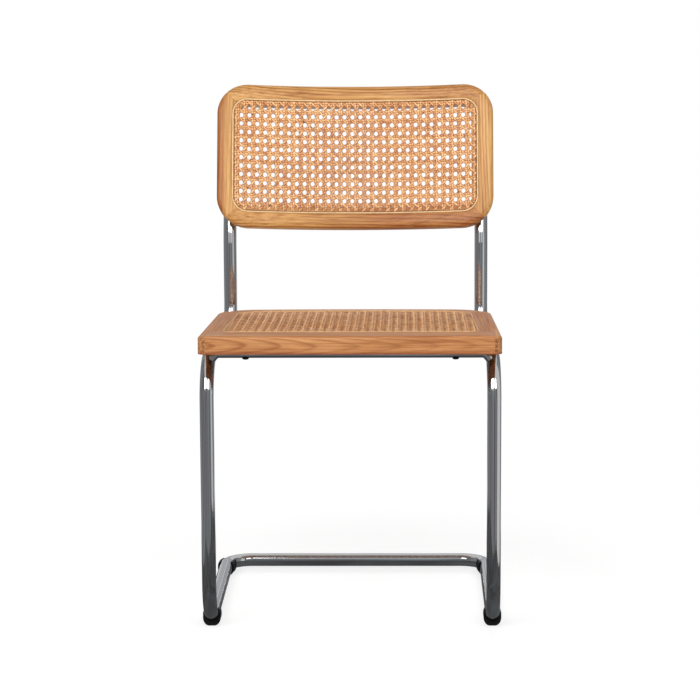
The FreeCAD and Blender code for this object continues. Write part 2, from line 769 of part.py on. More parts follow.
def back_depth_point(x, y, depth):
    """A point of the backrest at a depth behind its front face."""
    radius = size("back_radius") + depth
    return Vector(x, y, size("back_radius") - math.sqrt(radius ** 2 - x ** 2))


def mitre_dowels():
    """Two dowels across each mitre, centred between the window's corner and the outer corner."""
    corner = size("back_band") + size("lip_width")
    across = size("back_width") / 2
    up = size("back_height") / 2
    outer = size("back_corner") * (1 - math.sqrt(0.5))
    middle = (corner + outer) / 2
    step = size("dowel_pitch") / 2 * math.sqrt(0.5)
    pins = []
    for side_x in (-1, 1):
        for side_y in (-1, 1):
            for shift in (-step, step):
                inset = middle + shift
                place = back_depth_point(
                    side_x * (across - inset), side_y * (up - inset), size("dowel_depth")
                )
                heading = Vector(side_x, -side_y, 0).normalize()
                pins.append((place, heading))
    return pins


def dowel_solid(place, heading, grow):
    """One dowel, or the hole for it."""
    length = size("dowel_length") + 2 * grow
    return hole(place - heading * (length / 2), heading, size("dowel_diameter") / 2 + grow, length)


def back_frame():
    """All four members in one piece, drilled for dowels and screws."""
    frame = caned_frame(back_blank(), back_window, back_layer)
    frame = frame.cut([dowel_solid(place, heading, size("slide_clearance")) for place, heading in mitre_dowels()])
    screws = [BACK_PLACE.inverse().multVec(point) for point in back_screw_points(-1) + back_screw_points(1)]
    return drilled(frame, screws, Vector(0, 0, 1))


def mitre_zone(corners):
    """A block over a plan of the backrest, cut at the mitres."""
    points = [Vector(x, y, BACK_LOW) for x, y in corners]
    face = Part.Face(Part.makePolygon(points + points[:1]))
    return face.extrude(Vector(0, 0, BACK_HIGH - BACK_LOW))


def back_members(frame):
    """Top rail, bottom rail and left stile, each up to its mitres."""
    across = size("back_width") / 2 + OVERSHOOT
    up = size("back_height") / 2 + OVERSHOOT
    point_x = across - up
    top = mitre_zone(((-across, up), (-point_x, 0), (point_x, 0), (across, up)))
    bottom = mitre_zone(((-across, -up), (-point_x, 0), (point_x, 0), (across, -up)))
    left = mitre_zone(((-across, up), (-across, -up), (-point_x, 0)))
    return frame.common(top), frame.common(bottom), frame.common(left)


back_top_shape, back_bottom_shape, back_left_shape = back_members(back_frame())
back_top = feature("back_top_rail", back_top_shape, BACK_PLACE)
back_bottom = feature("back_bottom_rail", back_bottom_shape, BACK_PLACE)
back_left = feature("back_stile_left", back_left_shape, BACK_PLACE)
back_right = mirrored("back_stile_right", back_left)


def back_net():
    """The gaps that show in the backrest's window."""
    inset = size("back_band") + size("lip_width")
    half = size("back_width") / 2 - inset
    up = size("back_height") / 2 - inset
    grid = net_places(size("back_net_columns"), size("back_net_rows"), -half, half, -up, up)
    return net_gaps(grid, BACK_LOW, BACK_HIGH)


back_cane = feature("back_cane", cane_sheet(back_window, back_layer, back_net()), BACK_PLACE)
back_spline = feature("back_spline", reed_spline(back_window, back_layer), BACK_PLACE)


# Dowels and screws, each kind a group of separate solids

def group(name, solids):
    """A node that holds several separate solids of one kind."""
    return feature(name, Part.makeCompound(solids))


def screw(name, length):
    """A pan-head screw: Z = 0 under its head, shank along +Z."""
    head = bound(
        "Part::Cylinder",
        name + "_head",
        Radius="Sizes.screw_head / 2",
        Height="Sizes.screw_head_height",
    )
    head.setExpression("Placement.Base.z", "-Sizes.screw_head_height")
    shank = bound("Part::Cylinder", name + "_shank", Radius="Sizes.screw_diameter / 2")
    shank.Height = length
    whole = boolean("Part::Fuse", name, head, shank)
    doc.recompute()
    return whole.Shape


def screws(name, points, heading, metal):
    """Screws through some metal and into the wood, each head against the far side of the metal."""
    single = screw(name + "_single", metal + size("screw_grip"))
    solids = []
    for point in points:
        solid = single.copy()
        solid.Placement = Placement(point - heading * metal, Rotation(Vector(0, 0, 1), heading))
        solids.append(solid)
    return group(name, solids)


dowels = [
    dowel_solid(BACK_PLACE.multVec(place), BACK_PLACE.Rotation.multVec(heading), 0)
    for place, heading in mitre_dowels()
]
back_dowels = group("back_mitre_dowels", dowels)

through_rail = size("fit_gap") + size("tube_diameter")
through_brace = size("fit_gap") + size("brace_diameter")
through_upright = tube_standoff() + TUBE
seat_screws = screws("seat_screws", seat_screw_points(-1) + seat_screw_points(1), SEAT_UP, through_rail)
brace_screws = screws("brace_screws", brace_screw_points(), SEAT_UP, through_brace)
back_places = back_screw_points(-1) + back_screw_points(1)
back_screws = screws("back_screws", back_places, BACK_FACING, through_upright)


# Check every object, then write one file for each sub-part

SUB_PARTS = (
    frame_left, frame_right, sleeve, plug_left, plug_right,
    front_glide_left, front_glide_right, rear_glide_left, rear_glide_right, brace,
    seat_front, seat_rear, seat_left, seat_right, seat_cane, seat_spline,
    back_top, back_bottom, back_left, back_right, back_cane, back_spline, back_dowels,
    seat_screws, brace_screws, back_screws,
)

doc.recompute()
for item in doc.Objects:
    if "Invalid" in item.State or "Error" in item.State:
        raise RuntimeError("failed to build: " + item.Label)
for piece in SUB_PARTS:
    if piece.Shape.isNull() or not piece.Shape.isValid():
        raise RuntimeError("not a valid shape: " + piece.Label)

os.makedirs("parts", exist_ok=True)
for piece in SUB_PARTS:
    piece.Shape.exportStep("parts/%s.step" % piece.Label)
    print("%-22s %d solids, %9.1f mm3" % (piece.Label, len(piece.Shape.Solids), piece.Shape.Volume))
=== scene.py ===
import math

import bmesh
import bpy
import numpy as np
from mathutils import Euler, Matrix


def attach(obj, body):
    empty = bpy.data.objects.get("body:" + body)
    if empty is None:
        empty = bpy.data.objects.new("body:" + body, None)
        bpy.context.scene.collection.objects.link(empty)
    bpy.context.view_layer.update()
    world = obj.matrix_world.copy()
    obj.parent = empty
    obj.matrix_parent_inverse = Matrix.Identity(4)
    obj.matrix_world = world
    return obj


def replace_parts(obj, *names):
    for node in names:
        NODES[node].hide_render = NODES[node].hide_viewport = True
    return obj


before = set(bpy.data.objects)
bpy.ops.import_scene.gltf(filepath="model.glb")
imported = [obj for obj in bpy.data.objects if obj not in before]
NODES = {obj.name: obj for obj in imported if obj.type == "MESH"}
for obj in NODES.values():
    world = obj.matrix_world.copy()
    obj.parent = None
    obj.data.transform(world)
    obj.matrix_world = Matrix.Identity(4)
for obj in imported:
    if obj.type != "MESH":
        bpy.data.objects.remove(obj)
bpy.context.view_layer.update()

# Sizes of the chair in millimetres and angles in radians. Meshes are made in millimetres and stored in metres.

TUBE_R = 11.0
GLIDE_SOLE = 5.0
WOOD_GAP = 0.2
LEG_X = 220.0
UPRIGHT_X = 211.0
RUNNER = 421.0
UPRIGHT_SETBACK = 436.0
UPRIGHT_BELOW_TOP = 38.0
LEAN_HEIGHT = 566.0
LEAN = math.radians(16.5)
PITCH = math.radians(2.4)
FLOOR_BEND, LEG_BEND, SEAT_BEND, LEAN_BEND = 44.0, 64.0, 45.0, 150.0

SEAT_HEIGHT, SEAT_THICK, SEAT_OVERHANG = 470.0, 28.0, 32.0
SEAT_DEPTH, SEAT_BOW = 427.0, 10.0
SEAT_FRONT_HALF, SEAT_REAR_HALF = 231.0, 224.5
FRONT_BAND, SIDE_BAND, REAR_BAND = 65.0, 34.0, 33.0
SEAT_NEAR_R, SEAT_FAR_R = 13.0, 42.0

BACK_HALF, BACK_UP, BACK_THICK, BACK_R = 231.5, 122.5, 24.0, 935.0
BACK_CENTRE_HEIGHT, BACK_CORNER, BACK_BAND = 701.0, 52.0, 27.0
FRONT_ROUND, REAR_ROUND, WALL_INSET = 10.0, 9.0, 36.0
GROOVE_HALF, GROOVE_DEEP, LIP_DEEP = 2.0, 6.2, 1.6

REED_WIDTH, REED_CROWN, REED_OUT, CANE_START = 2.8, 0.9, 0.4, 1.7
CANE_PITCH_X, CANE_PITCH_Y = 13.31, 14.4
SCREW_R, HEAD_R, HEAD_HEIGHT = 2.5, 5.25, 2.4
SEAT_SCREWS, BACK_SCREW_UP = (150.0, 312.0), 65.0
BRACE_R, BRACE_SETBACK, BRACE_HALF, BRACE_DROP, BRACE_SCREW_X = 6.0, 30.0, 206.5, 9.5, 161.5
BRACE_BEND, BRACE_SLOPE = 9.0, math.radians(50)
GLIDE_R, GLIDE_LENGTH, GLIDE_RISE, SOLE_HALF, SOLE_ROUND = 14.0, 28.0, 6.0, 4.0, 13.5
GLIDE_TAIL, GLIDE_NOSE, GLIDE_STATIONS = 7.0, 24.2, 17

FLOOR_AXIS = GLIDE_SOLE + TUBE_R
RAIL_LEVEL = SEAT_THICK + WOOD_GAP + TUBE_R

# The backrest's axes, the depth of the uprights' centre behind its face, and its middle

UP_BACK = np.array([0, math.sin(LEAN), math.cos(LEAN)])
BACK_FACING = np.array([0, -math.cos(LEAN), math.sin(LEAN)])
TUBE_DEPTH = BACK_R - math.sqrt((BACK_R + BACK_THICK + WOOD_GAP + TUBE_R) ** 2 - UPRIGHT_X ** 2)
SLANT = (BACK_CENTRE_HEIGHT - LEAN_HEIGHT + TUBE_DEPTH * math.sin(LEAN)) / math.cos(LEAN)
BACK_CENTRE = np.array([0, UPRIGHT_SETBACK, LEAN_HEIGHT]) + UP_BACK * SLANT - BACK_FACING * TUBE_DEPTH

# The chair's front and rear edges are equally far from the origin.
FRONT_EDGE = -SEAT_OVERHANG - SEAT_THICK * math.sin(PITCH)
REAR_EDGE = BACK_CENTRE[1] + REAR_ROUND + (BACK_UP - REAR_ROUND) * math.sin(LEAN)
REAR_EDGE += (BACK_THICK - REAR_ROUND) * math.cos(LEAN)
LEG_Y = -(FRONT_EDGE + REAR_EDGE) / 2
BACK_CENTRE[1] += LEG_Y
SEAT_ORIGIN = np.array([0, LEG_Y - SEAT_OVERHANG, SEAT_HEIGHT])


def seat_place(x, y, z):
    """Seat axes to the room: turned about X by the seat's fall, then moved to its front edge."""
    c, s = math.cos(PITCH), math.sin(PITCH)
    return np.stack(np.broadcast_arrays(x, y * c + z * s, z * c - y * s), -1) + SEAT_ORIGIN


def back_place(x, y, depth):
    """Backrest axes to the room: the face is a cylinder, so the height of a point above the chord plane is the
    radius less the square root of (radius + depth) squared less x squared; then the lean turns it about X."""
    z = BACK_R - np.sqrt((BACK_R + depth) ** 2 - x ** 2)
    c, s = math.sin(LEAN), math.cos(LEAN)
    return np.stack(np.broadcast_arrays(x, y * c - z * s, y * s + z * c), -1) + BACK_CENTRE


def under_seat(x, room_y, depth):
    """The point at a depth under the seat's top, at a distance along the room's Y."""
    along = (room_y - SEAT_ORIGIN[1] + depth * math.sin(PITCH)) / math.cos(PITCH)
    return seat_place(x, along, -depth)


# Meshes from arrays

def unit(vector):
    """A vector's direction: the vector over its own length."""
    return vector / np.linalg.norm(vector, axis=-1, keepdims=True)


def in_scene(name, data):
    """An object for a mesh, a lamp or a camera, in the scene."""
    holder = bpy.data.objects.new(name, data)
    bpy.context.scene.collection.objects.link(holder)
    return holder


def mesh_piece(name, points, faces, material, smooth):
    """A piece from points in millimetres and a list of faces; edges sharper than an angle stay sharp."""
    mesh = bpy.data.meshes.new(name)
    mesh.from_pydata((np.asarray(points, float) * 0.001).tolist(), [], faces)
    mesh.validate()
    mesh.shade_smooth()
    mesh.set_sharp_from_angle(angle=math.radians(smooth))
    mesh.materials.append(material)
    piece = in_scene(name, mesh)
    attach(piece, "root")
    return piece


def grid_faces(rows, columns, start=0):
    """Quads between neighbouring rows of points, the last column joined to the first."""
    row = np.arange(rows - 1)[:, None]
    column = np.arange(columns)[None, :]
    beside = (column + 1) % columns
    here, there = row * columns, (row + 1) * columns
    quads = np.stack(np.broadcast_arrays(here + column, here + beside, there + beside, there + column), -1)
    return (quads.reshape(-1, 4) + start).tolist()


def carried(sections, start):
    """Faces of a bar whose closed sections are the rows of an array, with a face over each end."""
    rows, columns = sections.shape[:2]
    faces = grid_faces(rows, columns, start)
    faces.append((np.arange(columns)[::-1] + start).tolist())
    faces.append((np.arange(columns) + start + (rows - 1) * columns).tolist())
    return faces


def bar_piece(name, bars, material, smooth):
    """One piece of several closed bars, each an array of sections."""
    points, faces, count = [], [], 0
    for sections in bars:
        faces += carried(sections, count)
        points.append(sections.reshape(-1, 3))
        count += sections.shape[0] * sections.shape[1]
    return mesh_piece(name, np.concatenate(points), faces, material, smooth)


def bent_rings(corners, bends, radius, around=56, step=math.radians(2.5)):
    """A circle carried along straight runs and tangent arcs. In an arc the centre swings about the arc's hub, and
    the circle's two axes turn about the arc's own axis by Rodrigues' formula, so the tube doesn't twist."""
    corners = [np.asarray(corner, float) for corner in corners]
    heading = unit(corners[1] - corners[0])
    side = unit(np.cross(heading, [0.0, 0.3, 1.0]))
    other = np.cross(heading, side)
    centres, sides, others = [corners[0][None]], [side[None]], [other[None]]
    for corner, after, bend in zip(corners[1:], corners[2:], bends):
        out = unit(after - corner)
        axis = unit(np.cross(heading, out))
        turn = math.acos(np.clip(heading @ out, -1, 1))
        inward = np.cross(axis, heading)
        hub = corner - heading * bend * math.tan(turn / 2) + inward * bend
        angle = np.linspace(0, turn, max(3, int(turn / step)))[:, None]
        centres.append(hub + bend * (heading * np.sin(angle) - inward * np.cos(angle)))
        turned = []
        for vector in (side, other):
            swung = vector * np.cos(angle) + np.cross(axis, vector) * np.sin(angle)
            turned.append(swung + axis * (axis @ vector) * (1 - np.cos(angle)))
        sides.append(turned[0])
        others.append(turned[1])
        heading, side, other = out, turned[0][-1], turned[1][-1]
    centres.append(corners[-1][None])
    sides.append(side[None])
    others.append(other[None])
    centre, first, second = (np.concatenate(part)[:, None, :] for part in (centres, sides, others))
    angle = np.linspace(0, 2 * math.pi, around, endpoint=False)[None, :, None]
    return centre + radius * (first * np.cos(angle) + second * np.sin(angle))


def turned_rings(profile, base, heading, around=40, flats=None):
    """A profile of (radius, height) pairs turned about a heading. Where flats is true for a pair, its radius is
    that of a hexagon: the flat's distance over the cosine of the angle from the middle of the flat."""
    profile = np.asarray(profile, float)
    angle = np.linspace(0, 2 * math.pi, around, endpoint=False)
    radius = np.repeat(profile[:, :1], around, axis=1)
    if flats is not None:
        from_flat = np.mod(angle + math.pi / 6, math.pi / 3) - math.pi / 6
        radius = np.where(np.asarray(flats)[:, None], radius / np.cos(from_flat)[None], radius)
    heading = unit(np.asarray(heading, float))
    side = unit(np.cross(heading, [1.0, 0.2, 0.1]))
    other = np.cross(heading, side)
    ring = side * np.cos(angle)[:, None] + other * np.sin(angle)[:, None]
    return np.asarray(base) + radius[..., None] * ring[None] + profile[:, 1][:, None, None] * heading


# Materials

def new_material(name):
    """A material and its nodes."""
    material = bpy.data.materials.new(name)
    material.use_nodes = True
    return material, material.node_tree


def fill(tree, node, inputs):
    """Numbers, places, colours or links on a node's inputs."""
    for key, value in inputs.items():
        socket = node.inputs[key]
        if isinstance(value, bpy.types.NodeSocket):
            tree.links.new(value, socket)
        else:
            socket.default_value = (*value, 1) if socket.type == "RGBA" else value


def add_node(tree, kind, inputs=None, **settings):
    """A node with its settings and its inputs."""
    node = tree.nodes.new(kind)
    for key, value in settings.items():
        setattr(node, key, value)
    fill(tree, node, inputs or {})
    return node


def dress(tree, inputs, height, strength, distance):
    """The Principled shader's inputs and its bump, from a height, a strength and a distance in metres."""
    bump = add_node(tree, "ShaderNodeBump", {"Height": height, "Strength": strength, "Distance": distance})
    fill(tree, tree.nodes["Principled BSDF"], {**inputs, "Normal": bump.outputs[0]})


def object_place(tree):
    """The place of a point on its piece's own axes."""
    return add_node(tree, "ShaderNodeTexCoord").outputs["Object"]


def maths(tree, operation, *values):
    """A sum or other operation on numbers or links."""
    return add_node(tree, "ShaderNodeMath", dict(enumerate(values)), operation=operation).outputs[0]


def vector_maths(tree, operation, *values):
    """The same on places. A dot product or a length comes as a number."""
    node = add_node(tree, "ShaderNodeVectorMath", dict(enumerate(values)), operation=operation)
    return node.outputs["Value" if operation in ("DOT_PRODUCT", "LENGTH") else "Vector"]


def ramp(tree, factor, stops):
    """A colour ramp with (position, colour) stops."""
    node = add_node(tree, "ShaderNodeValToRGB", {0: factor})
    elements = node.color_ramp.elements
    while len(elements) < len(stops):
        elements.new(0.5)
    for element, (position, colour) in zip(elements, stops):
        element.position = position
        element.color = (*colour, 1) if isinstance(colour, tuple) else (colour, colour, colour, 1)
    return node.outputs[0]


def blend_colours(tree, kind, factor, first, second):
    """Two colours blended by a factor; each of the three is a number, a colour or a link."""
    inputs = {0: factor, 6: first, 7: second}
    return add_node(tree, "ShaderNodeMix", inputs, data_type="RGBA", blend_type=kind).outputs[2]


def noise(tree, vector, scale, detail=3.0, roughness=0.5, output=0):
    """Cloudy noise as a number (output 0) or as a colour (output 1)."""
    inputs = {"Vector": vector, "Scale": scale, "Detail": detail, "Roughness": roughness}
    return add_node(tree, "ShaderNodeTexNoise", inputs).outputs[output]


def scaled(tree, vector, scale):
    """A place multiplied axis by axis, which stretches a pattern along the axes with small numbers."""
    return vector_maths(tree, "MULTIPLY", vector, scale)


LIGHT_ASH, MIDDLE_ASH, DARK_ASH = (0.790, 0.450, 0.158), (0.640, 0.310, 0.092), (0.315, 0.100, 0.022)
# The first colour below reddens and darkens heartwood, and also paints shade at shaded edges
HEARTWOOD_AND_SHADE, END_GRAIN = (0.66, 0.47, 0.38), (0.16, 0.055, 0.016)


def lacquered_wood(name, board_at, board_turn, pith, ring, taper, tone=(1.0, 1.0, 1.0), warp=0.006, lines=0.8,
                   heart_and_shade=None):
    """Honey-coloured ash. The board's own X runs with the grain. Its rings are cylinders round a pith line that
    is offset from the board and drifts away along it, so a flat face shows arches and a curved one long streaks.
    The last argument gives a direction, two distances along it and a strength: between the two the wood turns
    redder and darker. Callers use it for heartwood and also for painted shade at shaded edges."""
    material, tree = new_material(name)
    place = {"Vector": object_place(tree), "Location": [c * 0.001 for c in board_at], "Rotation": board_turn}
    board = add_node(tree, "ShaderNodeMapping", place, vector_type="TEXTURE").outputs[0]
    bend = noise(tree, scaled(tree, board, (2.6, 9.0, 9.0)), 1.0, 3.0, output=1)
    bend = vector_maths(tree, "SUBTRACT", bend, (0.5, 0.5, 0.5))
    bent = vector_maths(tree, "ADD", board, scaled(tree, bend, (0.0, warp * 2, warp * 2)))
    part = add_node(tree, "ShaderNodeSeparateXYZ", {0: bent}).outputs
    across = maths(tree, "SUBTRACT", part[1], pith[0])
    deep = maths(tree, "SUBTRACT", part[2], pith[1])
    radius = maths(tree, "SQRT", maths(tree, "ADD", maths(tree, "MULTIPLY", across, across),
                                       maths(tree, "MULTIPLY", deep, deep)))
    radius = maths(tree, "ADD", radius, maths(tree, "MULTIPLY", part[0], taper))
    years = maths(tree, "DIVIDE", radius, ring)
    season = maths(tree, "FRACT", years)
    late = ramp(tree, season, [(0.0, 0.9), (0.10, 0.15), (0.45, 0.0), (0.74, 0.40), (0.93, 1.0), (1.0, 0.9)])
    per_year = noise(tree, scaled(tree, board, (1.5, 55.0, 55.0)), 1.0, 2.0)
    late = maths(tree, "MULTIPLY", late, ramp(tree, per_year, [(0.34, 0.12), (0.64, 1.0)]))
    fibre = noise(tree, scaled(tree, board, (22.0, 900.0, 900.0)), 1.0, 3.0, 0.6)
    pores = noise(tree, scaled(tree, board, (60.0, 2200.0, 2200.0)), 1.0, 1.0)
    pores = ramp(tree, pores, [(0.6, 0.0), (0.7, 1.0)])
    cloud = noise(tree, scaled(tree, board, (4.0, 30.0, 30.0)), 1.0, 3.0)
    sweep = noise(tree, scaled(tree, bent, (5.0, 240.0, 240.0)), 1.0, 3.0, 0.6)
    light, middle, dark = (tuple(c * t for c, t in zip(ash, tone)) for ash in (LIGHT_ASH, MIDDLE_ASH, DARK_ASH))
    colour = ramp(tree, cloud, [(0.36, middle), (0.62, light)])
    colour = blend_colours(tree, "MIX", maths(tree, "MULTIPLY", late, lines), colour, dark)
    streak = ramp(tree, sweep, [(0.32, (0.64, 0.49, 0.35)), (0.52, (1.0, 1.0, 1.0)), (0.70, (1.12, 1.17, 1.24))])
    colour = blend_colours(tree, "MULTIPLY", 0.9, colour, streak)
    hairs = ramp(tree, fibre, [(0.3, (0.74, 0.66, 0.56)), (0.7, (1.08, 1.08, 1.08))])
    colour = blend_colours(tree, "MULTIPLY", 0.8, colour, hairs)
    colour = blend_colours(tree, "MIX", maths(tree, "MULTIPLY", pores, 0.35), colour, dark)
    # Redder and darker between two distances: heartwood, and on some boards painted shade at a shaded edge
    if heart_and_shade:
        towards, start, stop, strength = heart_and_shade
        reach = vector_maths(tree, "DOT_PRODUCT", bent, towards)
        span = {"Value": reach, "From Min": start, "From Max": stop, "To Max": strength}
        red = add_node(tree, "ShaderNodeMapRange", span).outputs[0]
        colour = blend_colours(tree, "MULTIPLY", red, colour, HEARTWOOD_AND_SHADE)
    facing = add_node(tree, "ShaderNodeNewGeometry").outputs["Normal"]
    end = vector_maths(tree, "DOT_PRODUCT", facing, tuple(Euler(board_turn).to_matrix().col[0]))
    end = ramp(tree, maths(tree, "ABSOLUTE", end), [(0.80, 0.0), (0.97, 1.0)])
    colour = blend_colours(tree, "MIX", maths(tree, "MULTIPLY", end, 0.80), colour, END_GRAIN)
    height = maths(tree, "SUBTRACT", fibre, maths(tree, "MULTIPLY", pores, 0.8))
    lacquer = {"Specular IOR Level": 0.28, "Coat Weight": 0.10, "Coat Roughness": 0.25}
    dress(tree, {"Base Color": colour, "Roughness": 0.50, **lacquer}, height, 0.35, 0.00012)
    return material


def polished_chrome():
    """Chromium plate: a bright metal with the faint waviness of a bent and buffed tube."""
    material, tree = new_material("chrome plate")
    where = object_place(tree)
    cloudy = noise(tree, where, 90.0, 4.0, 0.6)
    span = {"Value": cloudy, "From Min": 0.3, "From Max": 0.7, "To Min": 0.05, "To Max": 0.10}
    rough = add_node(tree, "ShaderNodeMapRange", span).outputs[0]
    metal = {"Base Color": (0.455, 0.455, 0.46), "Metallic": 1.0, "Roughness": rough}
    dress(tree, metal, noise(tree, where, 14.0, 2.0), 0.10, 0.0006)
    return material


def woven_cane():
    """Split rattan skin: tan and glossy, each strand its own tint, with specks and dark nodes. Painted shade
    darkens each strand at its edges and where it runs under another, and a painted highlight lightens it where it
    lies over."""
    material, tree = new_material("split cane")
    where = object_place(tree)
    values = [add_node(tree, "ShaderNodeAttribute", attribute_name=word) for word in ("tint", "lift", "edge")]
    tint, lift, edge = (value.outputs["Fac"] for value in values)
    patch = noise(tree, where, 170.0, 3.0, 0.65)
    mixed = maths(tree, "ADD", maths(tree, "MULTIPLY", tint, 0.32), maths(tree, "MULTIPLY", patch, 0.80))
    colour = ramp(
        tree, mixed,
        [(0.22, (0.26, 0.085, 0.025)), (0.42, (0.56, 0.225, 0.072)), (0.62, (0.80, 0.42, 0.165)),
         (0.85, (0.95, 0.64, 0.32))],
    )
    specks = ramp(tree, noise(tree, where, 420.0, 2.0, 0.6), [(0.58, 0.0), (0.70, 1.0)])
    colour = blend_colours(tree, "MIX", maths(tree, "MULTIPLY", specks, 0.55), colour, (0.24, 0.07, 0.02))
    knots = ramp(tree, noise(tree, where, 130.0, 1.0, 0.5), [(0.72, 0.0), (0.76, 1.0)])
    colour = blend_colours(tree, "MIX", maths(tree, "MULTIPLY", knots, 0.85), colour, (0.07, 0.025, 0.012))
    # Painted shade where a strand dips under another, and a painted highlight where it lies over, from its lift
    shade = ramp(tree, lift, [(0.15, (0.28, 0.14, 0.08)), (0.48, (0.78, 0.65, 0.54)), (0.80, (1.22, 1.28, 1.34))])
    colour = blend_colours(tree, "MULTIPLY", 1.0, colour, shade)
    # Painted shade along each strand's edges, darkest at the very edge, as shadow between neighbouring strands
    painted_edge_shade = ramp(tree, edge, [(0.45, (1.0, 1.0, 1.0)), (0.80, (0.68, 0.52, 0.38)), (1.0, (0.18, 0.09, 0.05))])
    colour = blend_colours(tree, "MULTIPLY", 1.0, colour, painted_edge_shade)
    skin = {"Base Color": colour, "Roughness": 0.42, "Specular IOR Level": 0.45}
    dress(tree, skin, noise(tree, where, 1600.0, 2.0), 0.25, 0.0001)
    return material


def plain_finish(name, colour, roughness, grain, metallic=0.0, depth=0.00008, gloss=0.5):
    """One colour with a little cloudiness and a fine surface grain."""
    material, tree = new_material(name)
    where = object_place(tree)
    low = tuple(c * 0.82 for c in colour)
    high = tuple(min(1.0, c * 1.12) for c in colour)
    cloudy = ramp(tree, noise(tree, where, grain / 6, 3.0), [(0.3, low), (0.7, high)])
    inputs = {"Base Color": cloudy, "Metallic": metallic, "Roughness": roughness, "Specular IOR Level": gloss}
    dress(tree, inputs, noise(tree, where, grain, 2.0), 0.4, depth)
    return material


CHROME = polished_chrome()
CANE = woven_cane()
REED = plain_finish("reed spline", (0.92, 0.63, 0.33), 0.40, 900.0)
SEAT_REED = plain_finish("seat reed spline", (0.66, 0.38, 0.16), 0.45, 900.0)
BLACK_PLASTIC = plain_finish("black glide plastic", (0.005, 0.005, 0.006), 0.42, 1500.0, depth=0.00004, gloss=0.2)
BLACK_STEEL = plain_finish("black steel", (0.02, 0.02, 0.022), 0.35, 900.0, metallic=0.6)
STEEL = plain_finish("bright steel", (0.55, 0.56, 0.58), 0.24, 700.0, metallic=1.0)
RAW_BEECH = plain_finish("raw beech", (0.62, 0.42, 0.24), 0.7, 600.0)

# How a stile's board is turned: its own X, the way of the grain, runs up the backrest
UP_SLOPE = (0.0, math.radians(-90) + LEAN, math.radians(90))


# Frame: two bent tubes, the brace, the end plugs and the glides

def tube_route(side):
    """Corners of one half's centre line: rear bar, runner, leg, seat rail and upright."""
    top = SLANT + BACK_UP - UPRIGHT_BELOW_TOP
    upright_y = LEG_Y + UPRIGHT_SETBACK
    bend = np.array([side * UPRIGHT_X, upright_y, LEAN_HEIGHT])
    return [
        (side * 0.1, LEG_Y + RUNNER, FLOOR_AXIS),
        (side * LEG_X, LEG_Y + RUNNER, FLOOR_AXIS),
        (side * LEG_X, LEG_Y, FLOOR_AXIS),
        under_seat(side * LEG_X, LEG_Y, RAIL_LEVEL),
        under_seat(side * UPRIGHT_X, upright_y, RAIL_LEVEL),
        bend,
        bend + UP_BACK * top,
    ]


BENDS = (FLOOR_BEND, LEG_BEND, LEG_BEND, SEAT_BEND, LEAN_BEND)


def frame_pieces():
    """Both bent tubes with their domed end plugs, and the brace with its two ends bent down."""
    for side, word in ((-1, "left"), (1, "right")):
        route = tube_route(side)
        tube = bar_piece("tube_" + word, [bent_rings(route, BENDS, TUBE_R)], CHROME, 40)
        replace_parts(tube, "frame_tube_" + word)
        dome = [(TUBE_R, 0.0), (TUBE_R, 1.0), (TUBE_R - 0.6, 1.9), (TUBE_R - 2.2, 2.5), (3.0, 2.8), (0.6, 2.85)]
        cap = turned_rings(dome, route[-1], UP_BACK)
        plug = bar_piece("plug_" + word, [cap], BLACK_PLASTIC, 50)
        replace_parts(plug, "upright_plug_" + word)
    level = SEAT_THICK + WOOD_GAP + BRACE_R
    end_x = BRACE_HALF + BRACE_DROP / math.tan(BRACE_SLOPE)
    places = ((-end_x, BRACE_DROP), (-BRACE_HALF, 0), (BRACE_HALF, 0), (end_x, BRACE_DROP))
    route = [under_seat(x, LEG_Y + BRACE_SETBACK, level + drop) for x, drop in places]
    rings = bent_rings(route, (BRACE_BEND, BRACE_BEND), BRACE_R, 40, 0.15)
    brace = bar_piece("brace", [rings], CHROME, 40)
    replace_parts(brace, "cross_brace")


def glide_line():
    """Half of the clip's outer line, from the arm's tip to the middle of the sole: an arc round the tube, an
    upright side and a quarter of an ellipse down to the flat sole. Each row is (across, up, follows), where the
    last says how far the point follows the sole where that lies deeper."""
    arm = math.degrees(math.asin(GLIDE_RISE / TUBE_R))
    shoulder = FLOOR_AXIS - SOLE_ROUND
    share = np.linspace(0, 1, 6)[1:-1]
    same = np.ones(len(share))
    upper = arc((0.0, 0.0), GLIDE_R, arm, 0, 10)
    side = np.stack([GLIDE_R * same, -shoulder * share], -1)
    lower = arc((0.0, 0.0), 1.0, 0, -90, 12) * [GLIDE_R - SOLE_HALF, SOLE_ROUND] + [SOLE_HALF, -shoulder]
    sole = np.stack([SOLE_HALF * (1 - share), -FLOOR_AXIS * same], -1)
    follows = np.concatenate([np.zeros(len(upper)), share, np.ones(len(lower)), same])
    return np.column_stack([np.concatenate([upper, side, lower, sole]), follows])


def glide_section(thick):
    """The clip's closed section as rows of (across, up, follows): the outer line, a round tip, the tube's arc and
    the other tip. Where thick is under 1, the outer line is drawn towards the tube."""
    half = glide_line()
    whole = np.concatenate([half, half[::-1] * [-1, 1, 1]])
    inner = unit(whole[:, :2]) * (TUBE_R + 0.05)
    outer = inner + (whole[:, :2] - inner) * thick
    tip_side = unit(outer[0])
    tip_ahead = np.array([-tip_side[1], tip_side[0]])
    middle, reach = (outer[0] + inner[0]) / 2, (outer[0] - inner[0]) @ tip_side / 2
    turn = np.radians(np.linspace(0, 180, 7)[1:-1, None])
    tip = middle + reach * (np.cos(turn) * tip_side + np.sin(turn) * tip_ahead)
    line = np.concatenate([outer, tip * [-1, 1], inner[::-1], tip[::-1]])
    still = np.zeros(len(line) - len(outer))
    return np.column_stack([line, np.concatenate([whole[:, 2], still])])


def glide_rings(place, side):
    """Sections from one end of the clip to the other, each put in its place by a function of the side, the share
    of the length and the section. The first two and the last two are drawn in, which rounds the ends."""
    rings = []
    for share in np.linspace(0, 1, GLIDE_STATIONS):
        from_end = min(share, 1 - share) * (GLIDE_STATIONS - 1)
        thick = np.interp(from_end, [0, 1, 2], [0.74, 0.94, 1.0])
        rings.append(place(side, share, glide_section(thick)))
    return np.array(rings)


